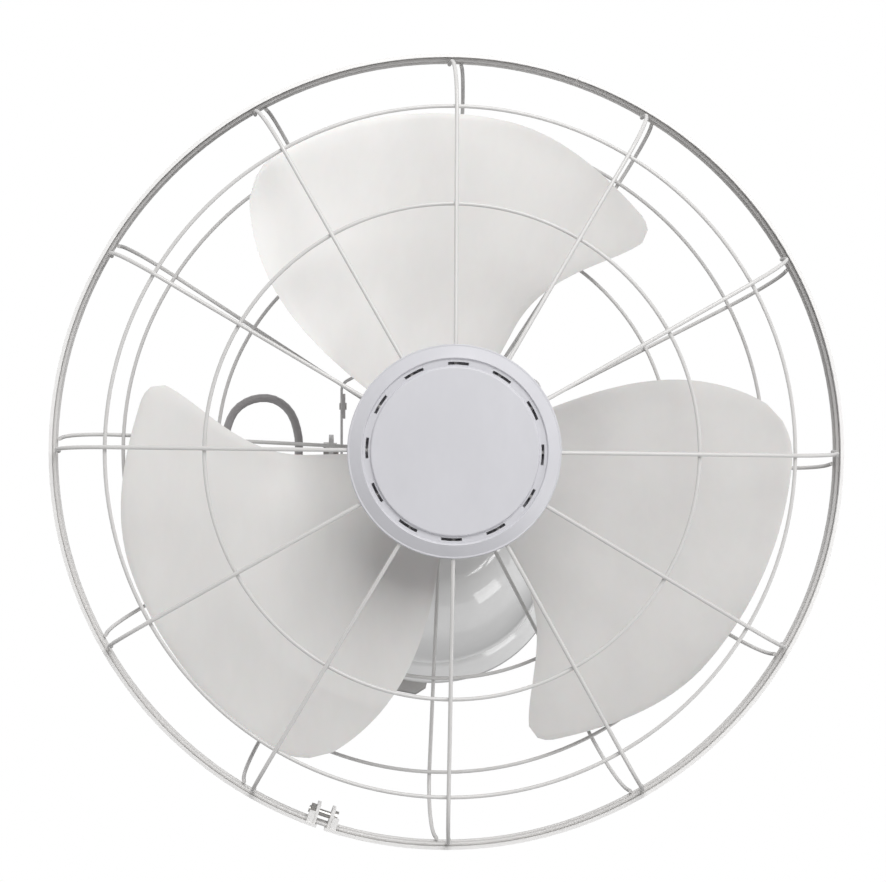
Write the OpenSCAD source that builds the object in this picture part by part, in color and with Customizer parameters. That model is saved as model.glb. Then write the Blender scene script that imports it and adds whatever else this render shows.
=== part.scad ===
// Orbital ceiling fan: a caged three-blade head that leans over and circles
// below a bell-shaped ceiling canopy. Millimetres, +Z up, origin at the centre
// of the ceiling plate's top face. The head is drawn straight, with its axis
// on local Z and its front towards -Z, and head_frame() leans and hangs it.

/* [Hanging] */
// Drop from the ceiling to the point that the head swings about
pivot_drop = 182; // [178:1:200]
// Lean of the head away from straight down, in degrees
lean = 28; // [25:0.5:28]

/* [Ceiling plate] */
// Radius of the round ceiling plate
plate_r = 60; // [58:1:70]
// Thickness of the plate's steel
plate_t = 3; // [2:0.5:4]
// Width of the two ears that show past the canopy
ear_w = 28; // [20:1:36]
// Reach of an ear from the centre
ear_reach = 100; // [98:1:110]
// Turn of the ears from the Y axis, in degrees
ear_turn = 12; // [0:1:20]
// Circle through the four ceiling bolts
ceiling_bolt_circle = 100; // [96:1:104]
// Diameter of a ceiling bolt hole
ceiling_bolt_hole = 6.5; // [5:0.5:8]

/* [Canopy] */
// Radius at the ceiling
canopy_r = 92; // [90:1:96]
// Radius at the shoulder, where the bell begins
shoulder_r = 83; // [80:1:86]
// Depth of the skirt above the shoulder
skirt_h = 19; // [12:1:26]
// Radius at the bottom of the bell
bell_neck_r = 45; // [42:1:55]
// Depth of the bell's bottom below the ceiling
canopy_h = 85; // [83:1:88]
// Wall of the moulding
canopy_wall = 2.5; // [2:0.25:3]

/* [Frame and yoke] */
// Outer radius of the frame's hanging tube
tube_r = 20; // [19:0.5:21]
// Depth of the tube's lower end below the ceiling
tube_end = 90; // [89.5:0.5:91]
// Thickness of the yoke's steel
yoke_t = 3; // [2.5:0.5:3.5]
// Space between the gimbal ring and a leg of the yoke
yoke_gap = 4.5; // [4:0.5:7]
// Half the width of a yoke leg
leg_half = 10; // [8:0.5:10.5]
// Length of a leg below the pivot point
leg_below = 12; // [10.5:0.5:14]

/* [Crank] */
// Radius of the upright pin
pin_r = 7; // [6:0.5:7.5]
// Radius of the leaning journal
journal_r = 8; // [7.5:0.5:8.5]
// Thickness of the crank arm
arm_t = 7; // [6:0.5:8]
// Running clearance of a journal in its bush
run_gap = 0.05; // [0.03:0.01:0.08]

/* [Guard] */
// Outer radius of the band that joins the two guards
band_r = 235; // [232:1:240]
// Depth of a guard at its hub, from the band's middle
guard_depth = 69.7; // [67:0.1:72]
// Height of the band along the head's axis
band_w = 20; // [18:1:24]
// Thickness of the band's steel
band_t = 1.2; // [1:0.1:1.5]
// Distance of the band's middle in front of the pivot point
band_ahead = 119; // [116:1:122]
// Diameter of a spoke wire
spoke_d = 2.3; // [2:0.1:2.6]
// Diameter of a ring wire
ring_d = 2.2; // [1.8:0.1:2.4]
// Number of spokes in each guard
spokes = 12; // [8:2:16]
// Radius of the large ring
ring_1_r = 198; // [192:1:200]
// Radius of the small ring
ring_2_r = 141; // [130:1:150]
// Radius of a spoke's bend near the band
bend_r = 40; // [36:1:42]
// Slope of a spoke towards the hub, in degrees
spoke_slope = 8.2; // [7:0.1:8.6]
// Turn of the front guard's spokes, in degrees
front_turn = 0.7; // [0:0.1:3]
// Turn of the rear guard's spokes, in degrees
rear_turn = 2.9; // [1:0.1:5]
// Sideways lean of the front spokes' bent ends, in degrees
front_lean = 3.7; // [0:0.1:5]
// Sideways lean of the rear spokes' bent ends, in degrees
rear_lean = 6; // [0:0.1:7]
// Place of the band's screwed joint, in degrees from the top
band_joint = 199; // [195:1:203]

/* [Front cap] */
// Radius of the cap
cap_r = 60.3; // [58:0.1:62]
// Radius of the ring of slots around the cap's middle
slot_r = 49.3; // [46:0.1:52]
// Length of a slot
slot_l = 11.3; // [8:0.1:13]
// Width of a slot
slot_w = 1.5; // [1:0.1:2]

/* [Blades] */
// Radius swept by the blades
blade_r = 203; // [198:1:205]
// Thickness of a blade
blade_t = 2.4; // [2:0.1:3]
// Rise along the axis for each degree around it, over the blade
blade_lead = 0.7; // [0.6:0.01:0.72]
// Depth of the blade's hollow side
blade_camber = 5; // [2:0.5:6]
// Radius of the blades' hub
hub_r = 37; // [34:1:40]
// Diameter of the motor shaft
shaft_d = 8; // [7:0.5:8]

/* [Motor] */
// From the stator core to the outside of the motor's cover
cover_gap = 13.5; // [12:0.5:13.5]
// Wall of the cover
cover_wall = 2; // [1.5:0.25:2.25]
// Radius of the stator core
stator_r = 44; // [42:0.5:44.5]
// Length of the stator core
stator_l = 28; // [24:1:30]
// Radius of the rotor core
rotor_r = 25.4; // [22:0.1:25.6]
// Air gap between rotor and stator
air_gap = 0.6; // [0.4:0.1:1]
// Radius of the threaded neck that carries the rear guard
neck_r = 19; // [17:0.5:20]

/* [Gears] */
// Teeth on the worm wheel
wheel_teeth = 30; // [30:1:30]
// Teeth on the clutch pinion
pinion_teeth = 18; // [18:1:18]
// Teeth on the face gear of the crank
face_teeth = 54; // [54:1:54]
// Inner radius of the gear case
case_r = 39; // [39:0.5:41]
// Wall of the gear case
case_wall = 2.5; // [2:0.25:3]

/* [Gimbal] */
// From the motor's cover to the ring's outside, towards a leg of the yoke
ring_side_gap = 8; // [7.5:0.5:8.5]
// From the motor's cover to the ring's outside, at the ring's own pivots
ring_end_gap = 5.5; // [5:0.5:7]
// Half the depth of the ring's strip along the head's axis
ring_half_z = 8; // [6:0.5:8]
// Thickness of the strip
ring_strip = 1.5; // [1:0.25:2]

/* [Lead] */
// Diameter of the motor lead
lead_d = 5.4; // [4.8:0.1:6]

/* [Hidden] */
$fn = 64;

seat = 0.05;         // gap left where two flat or round faces seat on each other
weld = 0.04;         // gap left between two welded wires
cut = 1;             // how far a cutting shape runs past the face that it cuts

// --- Shared shapes -------------------------------------------------------

// The head's frame: local -Z is the front, local +Y the side away from the ceiling
module head_frame() {
    translate([0, 0, -pivot_drop]) rotate([-lean, 0, 0]) children();
}

// A cylinder between two heights
module disc(z0, z1, r) {
    translate([0, 0, z0]) cylinder(h = z1 - z0, r = r);
}

// A washer or tube between two heights
module ring(z0, z1, r_in, r_out) {
    difference() {
        disc(z0, z1, r_out);
        disc(z0 - cut, z1 + cut, r_in);
    }
}

// Copies around the Z axis
module around(n, r = 0, start = 0) {
    for (i = [0 : n - 1]) rotate([0, 0, start + i * 360 / n]) translate([r, 0, 0]) children();
}

// A cylinder along X between two places
module disc_x(x0, x1, r) {
    translate([x0, 0, 0]) rotate([0, 90, 0]) cylinder(h = x1 - x0, r = r);
}

// A pan-head screw along Z: the shank runs from z_tip to z_seat, and the head
// goes on past z_seat
module pan_screw(z_seat, z_tip, r, head_r, head_h) {
    way = z_tip < z_seat ? 1 : -1;
    neck = z_seat + way * head_h * 0.3;
    disc(min(neck, z_tip), max(neck, z_tip), r);
    translate([0, 0, z_seat]) mirror([0, 0, way < 0 ? 1 : 0]) difference() {
        cylinder(h = head_h, r = head_r);
        for (a = [0, 90]) rotate([0, 0, a])
            translate([-head_r * 0.65, -head_r * 0.12, head_h * 0.5])
                cube([head_r * 1.3, head_r * 0.24, head_h]);
    }
}

// A hexagonal prism between two heights
module hex(z0, z1, r) {
    translate([0, 0, z0]) cylinder(h = z1 - z0, r = r, $fn = 6);
}

// An outline around corners that run against the clock, each with an arc of radius r
function outwards(a, b) = let (d = (b - a) / norm(b - a)) [d[1], -d[0]];
module round_outline(corners, r) {
    n = len(corners);
    polygon([for (i = [0 : n - 1]) let (a = corners[i], b = corners[(i + 1) % n])
        each [a + r * outwards(a, b), b + r * outwards(a, b)]]);
    for (c = corners) translate(c) circle(r);
}

// A straight wire in the YZ plane, from [y, z] to [y, z]
module rod_yz(p, q, r) {
    d = q - p;
    translate([0, p[0], p[1]]) rotate([-atan2(d[0], d[1]), 0, 0]) cylinder(h = norm(d), r = r);
}

// A bent wire in the YZ plane around c, from angle a0 to a1 measured from +Y
module bend_yz(c, bend, a0, a1, r) {
    translate([0, c[0], c[1]]) rotate([90, 0, 90]) rotate([0, 0, a0])
        rotate_extrude(angle = a1 - a0) translate([bend, 0]) circle(r);
}

// A bead that closes the seam between two stretches of one wire
bead = 1.04;
module seam_yz(p, r) {
    translate([0, p[0], p[1]]) sphere(r * bead);
}

// A ring of wire around Z
module wire_ring(big_r, z, r) {
    translate([0, 0, z]) rotate_extrude() translate([big_r, 0]) circle(r);
}

// A tube swept along points: each ring of sides is carried on from the last
function unit(v) = v / norm(v);
function way_at(p, i) = unit(p[min(i + 1, len(p) - 1)] - p[max(i - 1, 0)]);
function carried(n, t) = unit(n - (n * t) * t);
function side_ways(p, n, i = 0) =
    i == len(p) ? [] : let (c = carried(n, way_at(p, i))) concat([c], side_ways(p, c, i + 1));
function ring_points(c, n, t, r, k) = let (b = cross(t, n))
    [for (j = [0 : k - 1]) c + r * (cos(j * 360 / k) * n + sin(j * 360 / k) * b)];
module swept_tube(p, r, k, first_side) {
    ns = side_ways(p, first_side);
    last = len(p) - 1;
    points = [for (i = [0 : last]) each ring_points(p[i], ns[i], way_at(p, i), r, k)];
    walls = [for (i = [0 : last - 1], j = [0 : k - 1])
        let (a = i * k + j, b = i * k + (j + 1) % k) each [[a, a + k, b + k], [a, b + k, b]]];
    polyhedron(points, concat(walls, [[for (j = [0 : k - 1]) j]],
        [[for (j = [k - 1 : -1 : 0]) last * k + j]]));
}

// A smooth curve through points, with n steps between neighbours
function curve_at(a, b, c, d, t) = 0.5 * (2 * b + (c - a) * t
    + (2 * a - 5 * b + 4 * c - d) * t * t + (3 * b - a - 3 * c + d) * t * t * t);
function smooth_path(p, n) = let (m = len(p) - 1) concat([for (i = [0 : m - 1], s = [0 : n - 1])
    curve_at(p[max(i - 1, 0)], p[i], p[i + 1], p[min(i + 2, m)], s / n)], [p[m]]);

function ease(t) = let (c = min(max(t, 0), 1)) c * c * (3 - 2 * c);

// --- Radii and heights that several pieces share ----------------------------

cover_r = stator_r + cover_gap;
ring_half_w = cover_r + ring_side_gap;
ring_half_h = cover_r + ring_end_gap;
yoke_half = ring_half_w + yoke_gap;

// Ceiling side, world heights
canopy_top = -plate_t - seat;
canopy_floor = -canopy_h + canopy_wall;
frame_flange_t = 3;
frame_flange_r = 38;
tube_wall = 3;
plug_top = -63;
bush_r = pin_r + 4;
bush_flange_t = 1.5;
frame_bolt_r = 2.5;
frame_bolt_at = 31;
yoke_screw_at = 15.5;
yoke_screw_r = 1.8;
yoke_screw_l = 14;
canopy_screw_at = 31;
canopy_screw_r = 1.6;
seat_flange_r = 37;
seat_flange_t = 3;
cable_hole_r = 9;
cable_hole_at = 50;
washer_t = 2;
thread_r = pin_r - 2;
nut_h = 6;
pin_top = plug_top + bush_flange_t + 0.3;
pivot_r = 3;

// Head heights, along the head's axis
cover_split = 10;
motor_back = 20;
bell_t = 3.8;
case_floor = motor_back + bell_t + 0.2;
case_floor_t = 2.5;
wheel_z = case_floor + case_floor_t + 12;
wheel_module = 0.7;
wheel_r = wheel_module * wheel_teeth / 2;
worm_r = 3.9;
worm_throw = 0.6;
wheel_y = wheel_r + worm_r;
spindle_r = 2.5;
pinion_r = pinion_teeth / 2;
pinion_x = pinion_r * face_teeth / pinion_teeth;
pinion_half = 2.2;
tooth_up = 0.8;
tooth_down = 1.2;
face_root = wheel_z + pinion_r + 1.3;
face_web = wheel_z + wheel_r + 1.6;
face_top = face_web + 3.4;
face_in = 27.4;
face_out = 33.6;
cover_under = face_top + 1;
case_cover_t = 3.5;
case_bush_r = journal_r + 3;
thrust_r = journal_r + 14;
case_boss_top = cover_under + case_cover_t + 4;
arm_z = case_boss_top + 2;
arm_mid = arm_z + arm_t / 2;
arm_top = arm_z + arm_t;
arm_reach = arm_mid * tan(lean);
arm_end_r = 11;
gear_seat_r = journal_r - 2;
gear_end = face_web - 1.6;
lug_at = case_r + case_wall + 2;
lug_r = 4.5;
case_screw_r = 1.65;
spindle_end = case_r - 4;

stator_z = -stator_l + 6;
stator_top = stator_z + stator_l;
bell_r = stator_r + 2;
bell_wall = 4;
bell_flange_r = bell_r + 3;
tie_at = stator_r - 4;
tie_r = 1.6;
bell_front = stator_z - 18;
cover_front = bell_front - 8;
cover_face_t = 2;
boss_at = cover_r - 6;
shaft_r = shaft_d / 2;
bearing_r = shaft_r + 5;
rear_bearing_z = motor_back - 9;
rear_boss_r = bearing_r + 5;
neck_end = -62;

// Guard heights, measured from the band's middle
band_z = -band_ahead;
spoke_r = spoke_d / 2;
wire_r = ring_d / 2;
rim_wire_r = band_r - band_t - seat - wire_r;
lean_room = 0.09;     // what a leaning spoke end gains in radius
tip_r = rim_wire_r - wire_r - spoke_r - weld - lean_room;
bend_at = tip_r - bend_r;
rear_hub_r = 40;
straight_end_r = bend_at + bend_r * sin(spoke_slope);
straight_end_depth = guard_depth - (straight_end_r - rear_hub_r) * tan(spoke_slope);
bend_depth = straight_end_depth - bend_r * cos(spoke_slope);
rim_wire_depth = 4;
tip_depth = 0.9;
wire_step = spoke_r + wire_r + weld;
function spoke_depth(r) = straight_end_depth + (straight_end_r - r) * tan(spoke_slope);
function ring_depth(r) = r < straight_end_r
    ? spoke_depth(r) - wire_step / cos(spoke_slope)
    : bend_depth + sqrt(pow(bend_r - wire_step, 2) - pow(r - bend_at, 2));

rear_ring_r = 46.5;
front_hub_r = 45;
front_ring_r = 54;
guard_plate_r = 43.5;
guard_plate_t = 1.5;
guard_plate_z = band_z + spoke_depth(guard_plate_r) - spoke_r / cos(spoke_slope) - 0.1
    - guard_plate_t;
guard_nut_r = 30;
guard_nut_h = 8;
cap_rim_z = band_z - spoke_depth(cap_r) - spoke_r - 0.5;
cap_slope_h = 5.5;
cap_wall = 2;
backplate_z = band_z - ring_depth(front_ring_r) + wire_r + seat;
backplate_t = 2;
backplate_r = 57;
cap_post_at = 34;
cap_post_r = 4.5;
cap_face_z = cap_rim_z - cap_slope_h - 0.7;

hub_front = -143;
hub_back = -97;
hub_wall = 3;
hub_boss_r = 9;
drive_z = hub_back - 3;
drive_r = 1.5;
shaft_front = hub_front - 8;

// --- Ceiling side ---------------------------------------------------------

// The plate and its two ears, with cut corners, as one outline
ear_corner = 6;
module plate_outline() {
    half = ear_w / 2;
    ear_root = acos(half / plate_r);
    arc_step = 2;
    polygon([for (side = [0, 180]) each concat(
        [for (p = [[half, ear_reach - ear_corner], [half - ear_corner, ear_reach],
            [ear_corner - half, ear_reach], [-half, ear_reach - ear_corner]]) p * cos(side)],
        [for (a = [180 - ear_root : arc_step : 180 + ear_root])
            plate_r * [cos(a + side), sin(a + side)]])]);
}

module ceiling_plate() {
    color("darkgray") difference() {
        rotate([0, 0, ear_turn]) translate([0, 0, -plate_t]) linear_extrude(plate_t) plate_outline();
        around(4, ceiling_bolt_circle / 2, 45)
            disc(-plate_t - cut, cut, ceiling_bolt_hole / 2);
        around(4, frame_bolt_at) disc(-plate_t - cut, cut, frame_bolt_r + run_gap);
        translate([0, -cable_hole_at, 0]) disc(-plate_t - cut, cut, cable_hole_r);
    }
}

module cable_grommet() {
    lip = 2;
    bore = cable_hole_r - 3;
    color("dimgray") translate([0, -cable_hole_at, 0]) {
        ring(-plate_t - lip - seat, -plate_t - seat, bore, cable_hole_r + lip);
        ring(-plate_t - seat, -0.2, bore, cable_hole_r - seat);
    }
}

module base_frame() {
    top = -plate_t - seat;
    under = top - frame_flange_t;
    seat_flange_z = canopy_floor + seat;
    color("silver") difference() {
        union() {
            disc(under, top, frame_flange_r);
            disc(-tube_end, top, tube_r);
            disc(seat_flange_z, seat_flange_z + seat_flange_t, seat_flange_r);
        }
        disc(plug_top, cut, tube_r - tube_wall);
        disc(-tube_end - cut, plug_top + cut, bush_r + seat / 2);
        around(4, frame_bolt_at) disc(under - cut, cut, frame_bolt_r + run_gap);
        around(4, yoke_screw_at, 45)
            disc(-tube_end - cut, -tube_end + yoke_screw_l, yoke_screw_r + seat / 2);
        around(2, canopy_screw_at, 90)
            disc(seat_flange_z - cut, seat_flange_z + seat_flange_t + cut,
                canopy_screw_r + 0.1);
        // way for the wires from the tube to the terminal block
        translate([0, 0, -16]) rotate([90, 0, 0]) cylinder(h = tube_r + cut, r = 5);
    }
}

module frame_bolts() {
    under = -plate_t - seat - frame_flange_t - seat;
    color("gray") around(4, frame_bolt_at) {
        disc(under, -0.2, frame_bolt_r);
        hex(under - 3.5, under, 4.6);
    }
}

module main_bush() {
    color("goldenrod") {
        ring(-tube_end - yoke_t, plug_top, pin_r + run_gap, bush_r);
        ring(plug_top, plug_top + bush_flange_t, pin_r + run_gap, bush_r + 3);
    }
}

module yoke() {
    top = -tube_end - seat;
    foot = -pivot_drop - leg_below;
    color("white") difference() {
        union() {
            translate([-yoke_half - yoke_t, -leg_half, top - yoke_t])
                cube([2 * (yoke_half + yoke_t), 2 * leg_half, yoke_t]);
            disc(top - yoke_t, top, tube_r);
            for (side = [-1, 1]) translate([side * (yoke_half + yoke_t / 2), 0, 0]) {
                translate([-yoke_t / 2, -leg_half, foot + leg_half])
                    cube([yoke_t, 2 * leg_half, top - foot - leg_half]);
                translate([0, 0, foot + leg_half]) disc_x(-yoke_t / 2, yoke_t / 2, leg_half);
            }
        }
        disc(top - yoke_t - cut, top + cut, bush_r + seat);
        around(4, yoke_screw_at, 45) disc(top - yoke_t - cut, top + cut, yoke_screw_r + run_gap);
        translate([0, 0, -pivot_drop])
            disc_x(-yoke_half - yoke_t - cut, yoke_half + yoke_t + cut, pivot_r + run_gap);
    }
}

module yoke_screws() {
    under = -tube_end - seat - yoke_t - seat;
    color("gray") around(4, yoke_screw_at, 45)
        mirror([0, 0, 1]) pan_screw(-under, -under - yoke_screw_l, yoke_screw_r, 3.4, 2.2);
}

// The pivot screws stop short of the gimbal ring, where the linkage is opened
pivot_tip_gap = 1.3;
module pivot_screws() {
    tip = ring_half_w + pivot_tip_gap;
    outside = yoke_half + yoke_t + seat;
    head_r = 6;
    head_h = 3.5;
    slot = 1.4;
    color("gray") translate([0, 0, -pivot_drop]) for (side = [0, 1]) mirror([side, 0, 0]) {
        disc_x(tip, outside, pivot_r);
        difference() {
            disc_x(outside, outside + head_h, head_r);
            translate([outside + 2, -slot / 2, -head_r - cut])
                cube([head_h, slot, 2 * (head_r + cut)]);
        }
    }
}

module pivot_nuts() {
    thick = 2.2;
    across = 5.6;
    color("gray") translate([0, 0, -pivot_drop]) for (side = [0, 1]) mirror([side, 0, 0])
        translate([yoke_half - seat - thick, 0, 0]) rotate([0, 90, 0]) difference() {
            cylinder(h = thick, r = across, $fn = 6);
            disc(-cut, thick + cut, pivot_r + seat);
        }
}

// Half of the bell's outline, moved inwards by the wall for the inner skin
bell_steps = 18;
function bell_side(inwards, lift) = concat(
    [[canopy_r - inwards, canopy_top], [canopy_r - inwards, canopy_top - 3],
     [canopy_r - 1.4 - inwards, canopy_top - 6], [shoulder_r + 3.4 - inwards, -skirt_h + 3],
     [shoulder_r + 1.8 - inwards, -skirt_h + lift * 0.3]],
    [for (i = [0 : bell_steps]) let (a = 90 * i / bell_steps)
        [bell_neck_r + (shoulder_r - bell_neck_r - inwards) * cos(a),
         -skirt_h + (-canopy_h + lift + skirt_h) * sin(a)]]);

module canopy() {
    hole_r = tube_r + 0.4;
    inner = bell_side(canopy_wall, canopy_wall);
    outline = concat(bell_side(0, 0), [[hole_r, -canopy_h], [hole_r, canopy_floor]],
        [for (i = [len(inner) - 1 : -1 : 0]) inner[i]]);
    color("white") difference() {
        rotate_extrude() polygon(outline);
        around(2, canopy_screw_at, 90) disc(-canopy_h - cut, canopy_floor + cut,
            canopy_screw_r + 0.3);
    }
}

module canopy_screws() {
    color("gray") around(2, canopy_screw_at, 90)
        mirror([0, 0, 1]) pan_screw(canopy_h + seat, canopy_h - 7, canopy_screw_r, 3.4, 2);
}

terminal_size = [15, 40, 14];
terminal_step = 12;
module terminal_block() {
    under = -plate_t - seat;
    size = terminal_size;
    color("ivory") translate([-plate_r + 1, 0, under]) difference() {
        translate([0, -size[1] / 2, -size[2]]) cube(size);
        for (i = [-1, 0, 1]) translate([0, i * terminal_step, -size[2]]) {
            translate([0, 0, size[2] / 2]) disc_x(-cut, size[0] + cut, 2.2);
            translate([size[0] / 2, 0, 0]) disc(-cut, size[2] / 2 - cut, 2);
        }
    }
}

module terminal_screws() {
    under = -plate_t - seat - terminal_size[2];
    color("silver") for (i = [-1, 0, 1])
        translate([-plate_r + 1 + terminal_size[0] / 2, i * terminal_step, 0])
        difference() {
            disc(under + 0.4, under + 6.5, 1.9);
            translate([-2, -0.25, under]) cube([4, 0.5, 1]);
        }
}

module capacitor() {
    size = [16, 38, 26];
    color("gainsboro") translate([plate_r - size[0] - 1, -size[1] / 2, -plate_t - seat - size[2]])
        cube(size);
}

// --- Crank ------------------------------------------------------------------

module crank() {
    pin_start = -pivot_drop + arm_mid / cos(lean) + 0.7;
    color("silver") {
        disc(pin_start, pin_top, pin_r);
        disc(pin_top, pin_top + washer_t + nut_h + 3, thread_r);
        head_frame() {
            disc(arm_z, arm_top, arm_end_r);
            translate([0, -arm_reach, 0]) disc(arm_z, arm_top, arm_end_r);
            translate([-arm_end_r, -arm_reach, arm_z]) cube([2 * arm_end_r, arm_reach, arm_t]);
            disc(face_top + seat, arm_z, journal_r);
            difference() {
                disc(gear_end - 2.4, face_top + seat, gear_seat_r);
                ring(gear_end - 1.2, gear_end - 0.1, gear_seat_r - 0.8, gear_seat_r + 1);
            }
        }
    }
}

module crank_washer() {
    color("lightgray") ring(pin_top + seat, pin_top + washer_t, thread_r + seat, bush_r + 2);
}

module crank_nut() {
    low = pin_top + washer_t + seat;
    color("gray") difference() {
        hex(low, low + nut_h, 9);
        disc(low - cut, low + nut_h + cut, thread_r + seat / 2);
    }
}

// Face gear: its teeth lie along lines that pass the axis at the wheel's offset
module output_gear() {
    tooth_top_w = 0.9;
    tooth_root_w = 1.7;
    tip = wheel_z + pinion_r - tooth_up + 0.1;
    color("dimgray") head_frame() {
        ring(face_web, face_top, gear_seat_r + seat / 2, face_out);
        ring(face_root, face_web + 0.2, face_in, face_out);
        ring(gear_end, face_web + 0.2, gear_seat_r + seat / 2, gear_seat_r + 4);
        intersection() {
            ring(tip, face_root, face_in, face_out);
            for (i = [0 : face_teeth - 1]) rotate([0, 0, i * 360 / face_teeth])
                translate([0, wheel_y, 0]) rotate([90, 0, 90])
                    linear_extrude(face_out) polygon([
                        [-tooth_root_w / 2, face_root + 0.2], [-tooth_top_w / 2, tip - 0.1],
                        [tooth_top_w / 2, tip - 0.1], [tooth_root_w / 2, face_root + 0.2]]);
        }
    }
}

module gear_clip() {
    color("silver") head_frame() difference() {
        ring(gear_end - 1.1, gear_end - 0.2, gear_seat_r - 0.7, gear_seat_r + 1.6);
        translate([-1.5, 0, gear_end - 3]) cube([3, gear_seat_r + 4, 4]);
    }
}

// --- Gear case ---------------------------------------------------------------

module gear_case() {
    low = case_floor;
    color("whitesmoke") head_frame() difference() {
        union() {
            ring(low, cover_under, case_r, case_r + case_wall);
            disc(low, low + case_floor_t, case_r + cut);
            around(4, lug_at, 45) disc(low, cover_under, lug_r);
            for (side = [0, 1]) mirror([side, 0, 0]) translate([0, wheel_y, wheel_z])
                disc_x(spindle_end - 4, case_r + 0.5, 5);
        }
        difference() {
            disc(low + case_floor_t, cover_under + cut, case_r - seat);
            for (side = [0, 1]) mirror([side, 0, 0]) translate([0, wheel_y, wheel_z])
                disc_x(spindle_end - 4, case_r + 0.5, 5);
        }
        translate([0, wheel_y, wheel_z]) disc_x(-spindle_end, spindle_end, spindle_r + run_gap);
        disc(low - cut, low + case_floor_t + cut, shaft_r + 3);
        around(4, lug_at, 45) disc(low - cut, cover_under + cut, case_screw_r + run_gap);
        gland_cut(case_gland_turn, case_r - 6, case_gland_z, 4);
    }
}

module gear_case_cover() {
    low = cover_under + seat;
    color("whitesmoke") head_frame() difference() {
        union() {
            disc(low, low + case_cover_t, case_r + case_wall);
            around(4, lug_at, 45) disc(low, low + case_cover_t, lug_r);
            disc(low, case_boss_top, case_bush_r + 4);
        }
        disc(low - cut, case_boss_top + cut, case_bush_r + seat / 2);
        around(4, lug_at, 45) disc(low - cut, low + case_cover_t + cut, case_screw_r + run_gap);
    }
}

module gear_case_screws() {
    top = cover_under + case_cover_t + 2 * seat;
    color("gray") head_frame() around(4, lug_at, 45)
        pan_screw(top, motor_back + 0.6, case_screw_r, 3.3, 2.2);
}

module case_bush() {
    color("goldenrod") head_frame()
        ring(cover_under - 0.2, case_boss_top, journal_r + run_gap, case_bush_r);
}

module thrust_washer() {
    color("lightgray") head_frame()
        ring(face_top + 0.15, cover_under - seat, case_bush_r + 0.2, thrust_r);
}

// --- Motor -------------------------------------------------------------------

module motor_rear_bell() {
    color("silver") head_frame() difference() {
        union() {
            ring(stator_top + seat, motor_back, bell_r - bell_wall, bell_r);
            disc(motor_back, motor_back + bell_t, bell_flange_r);
            disc(rear_bearing_z, motor_back, rear_boss_r);
        }
        disc(rear_bearing_z - cut, motor_back + bell_t + cut, bearing_r + seat);
        around(4, lug_at, 45) disc(motor_back + 0.4, motor_back + bell_t + cut, case_screw_r + seat / 2);
        around(4, tie_at) disc(stator_top, motor_back + bell_t + cut, tie_r + run_gap);
        around(3, boss_at, 90) disc(motor_back - cut, motor_back + bell_t + cut, 5.2);
    }
}

module motor_front_bell() {
    color("silver") head_frame() difference() {
        union() {
            ring(bell_front + 5, stator_z - seat, bell_r - bell_wall, bell_r);
            ring(bell_front, bell_front + 5.5, bell_r - bell_wall - 1, bell_r - 2);
            disc(bell_front - 4, bell_front + 1, bell_r - 4);
            disc(cover_front + cover_face_t + seat, bell_front - 4, neck_r + 5);
            disc(neck_end, bell_front + 6, neck_r - seat);
        }
        disc(neck_end - cut, bell_front + 7, bearing_r + seat);
        around(4, tie_at) disc(bell_front - 5, stator_z, tie_r + seat / 2);
    }
}

module stator_core() {
    slots = 16;
    bore = rotor_r + air_gap;
    color("dimgray") head_frame() difference() {
        ring(stator_z, stator_top, bore, stator_r);
        around(slots, bore - 1, 11.25) translate([0, -1.6, stator_z - cut])
            cube([10, 3.2, stator_l + 2 * cut]);
        around(4, tie_at) disc(stator_z - cut, stator_top + cut, tie_r + run_gap);
    }
}

module stator_windings() {
    mid_r = (rotor_r + tie_at) / 2 + 0.4;
    color("chocolate") head_frame() for (z = [stator_top + 6.2, stator_z - 6.2])
        translate([0, 0, z]) rotate_extrude() translate([mid_r, 0]) {
            circle(4);
            square([8, 8], center = true);
            translate([0, 2]) circle(4);
            translate([0, -2]) circle(4);
        }
}

module motor_tie_screws() {
    top = motor_back + bell_t;
    color("gray") head_frame() around(4, tie_at)
        pan_screw(top - 1.8, bell_front - 3.6, tie_r, 1.6, 1.6);
}

module rear_bearing() {
    color("goldenrod") head_frame()
        ring(rear_bearing_z, motor_back + 1, shaft_r + run_gap, bearing_r);
}

module front_bearing() {
    color("goldenrod") head_frame() ring(neck_end, bell_front + 4, shaft_r + run_gap, bearing_r);
}

nose_steps = 8;
nose_r = 38;
nose_z = -14;
cover_boss_r = 4.4;
function cover_nose(inwards) = [for (i = [0 : nose_steps]) let (a = 90 * i / nose_steps)
    [nose_r + (cover_r - nose_r) * cos(a) - inwards,
     nose_z + (cover_front - nose_z + inwards) * sin(a)]];

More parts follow.
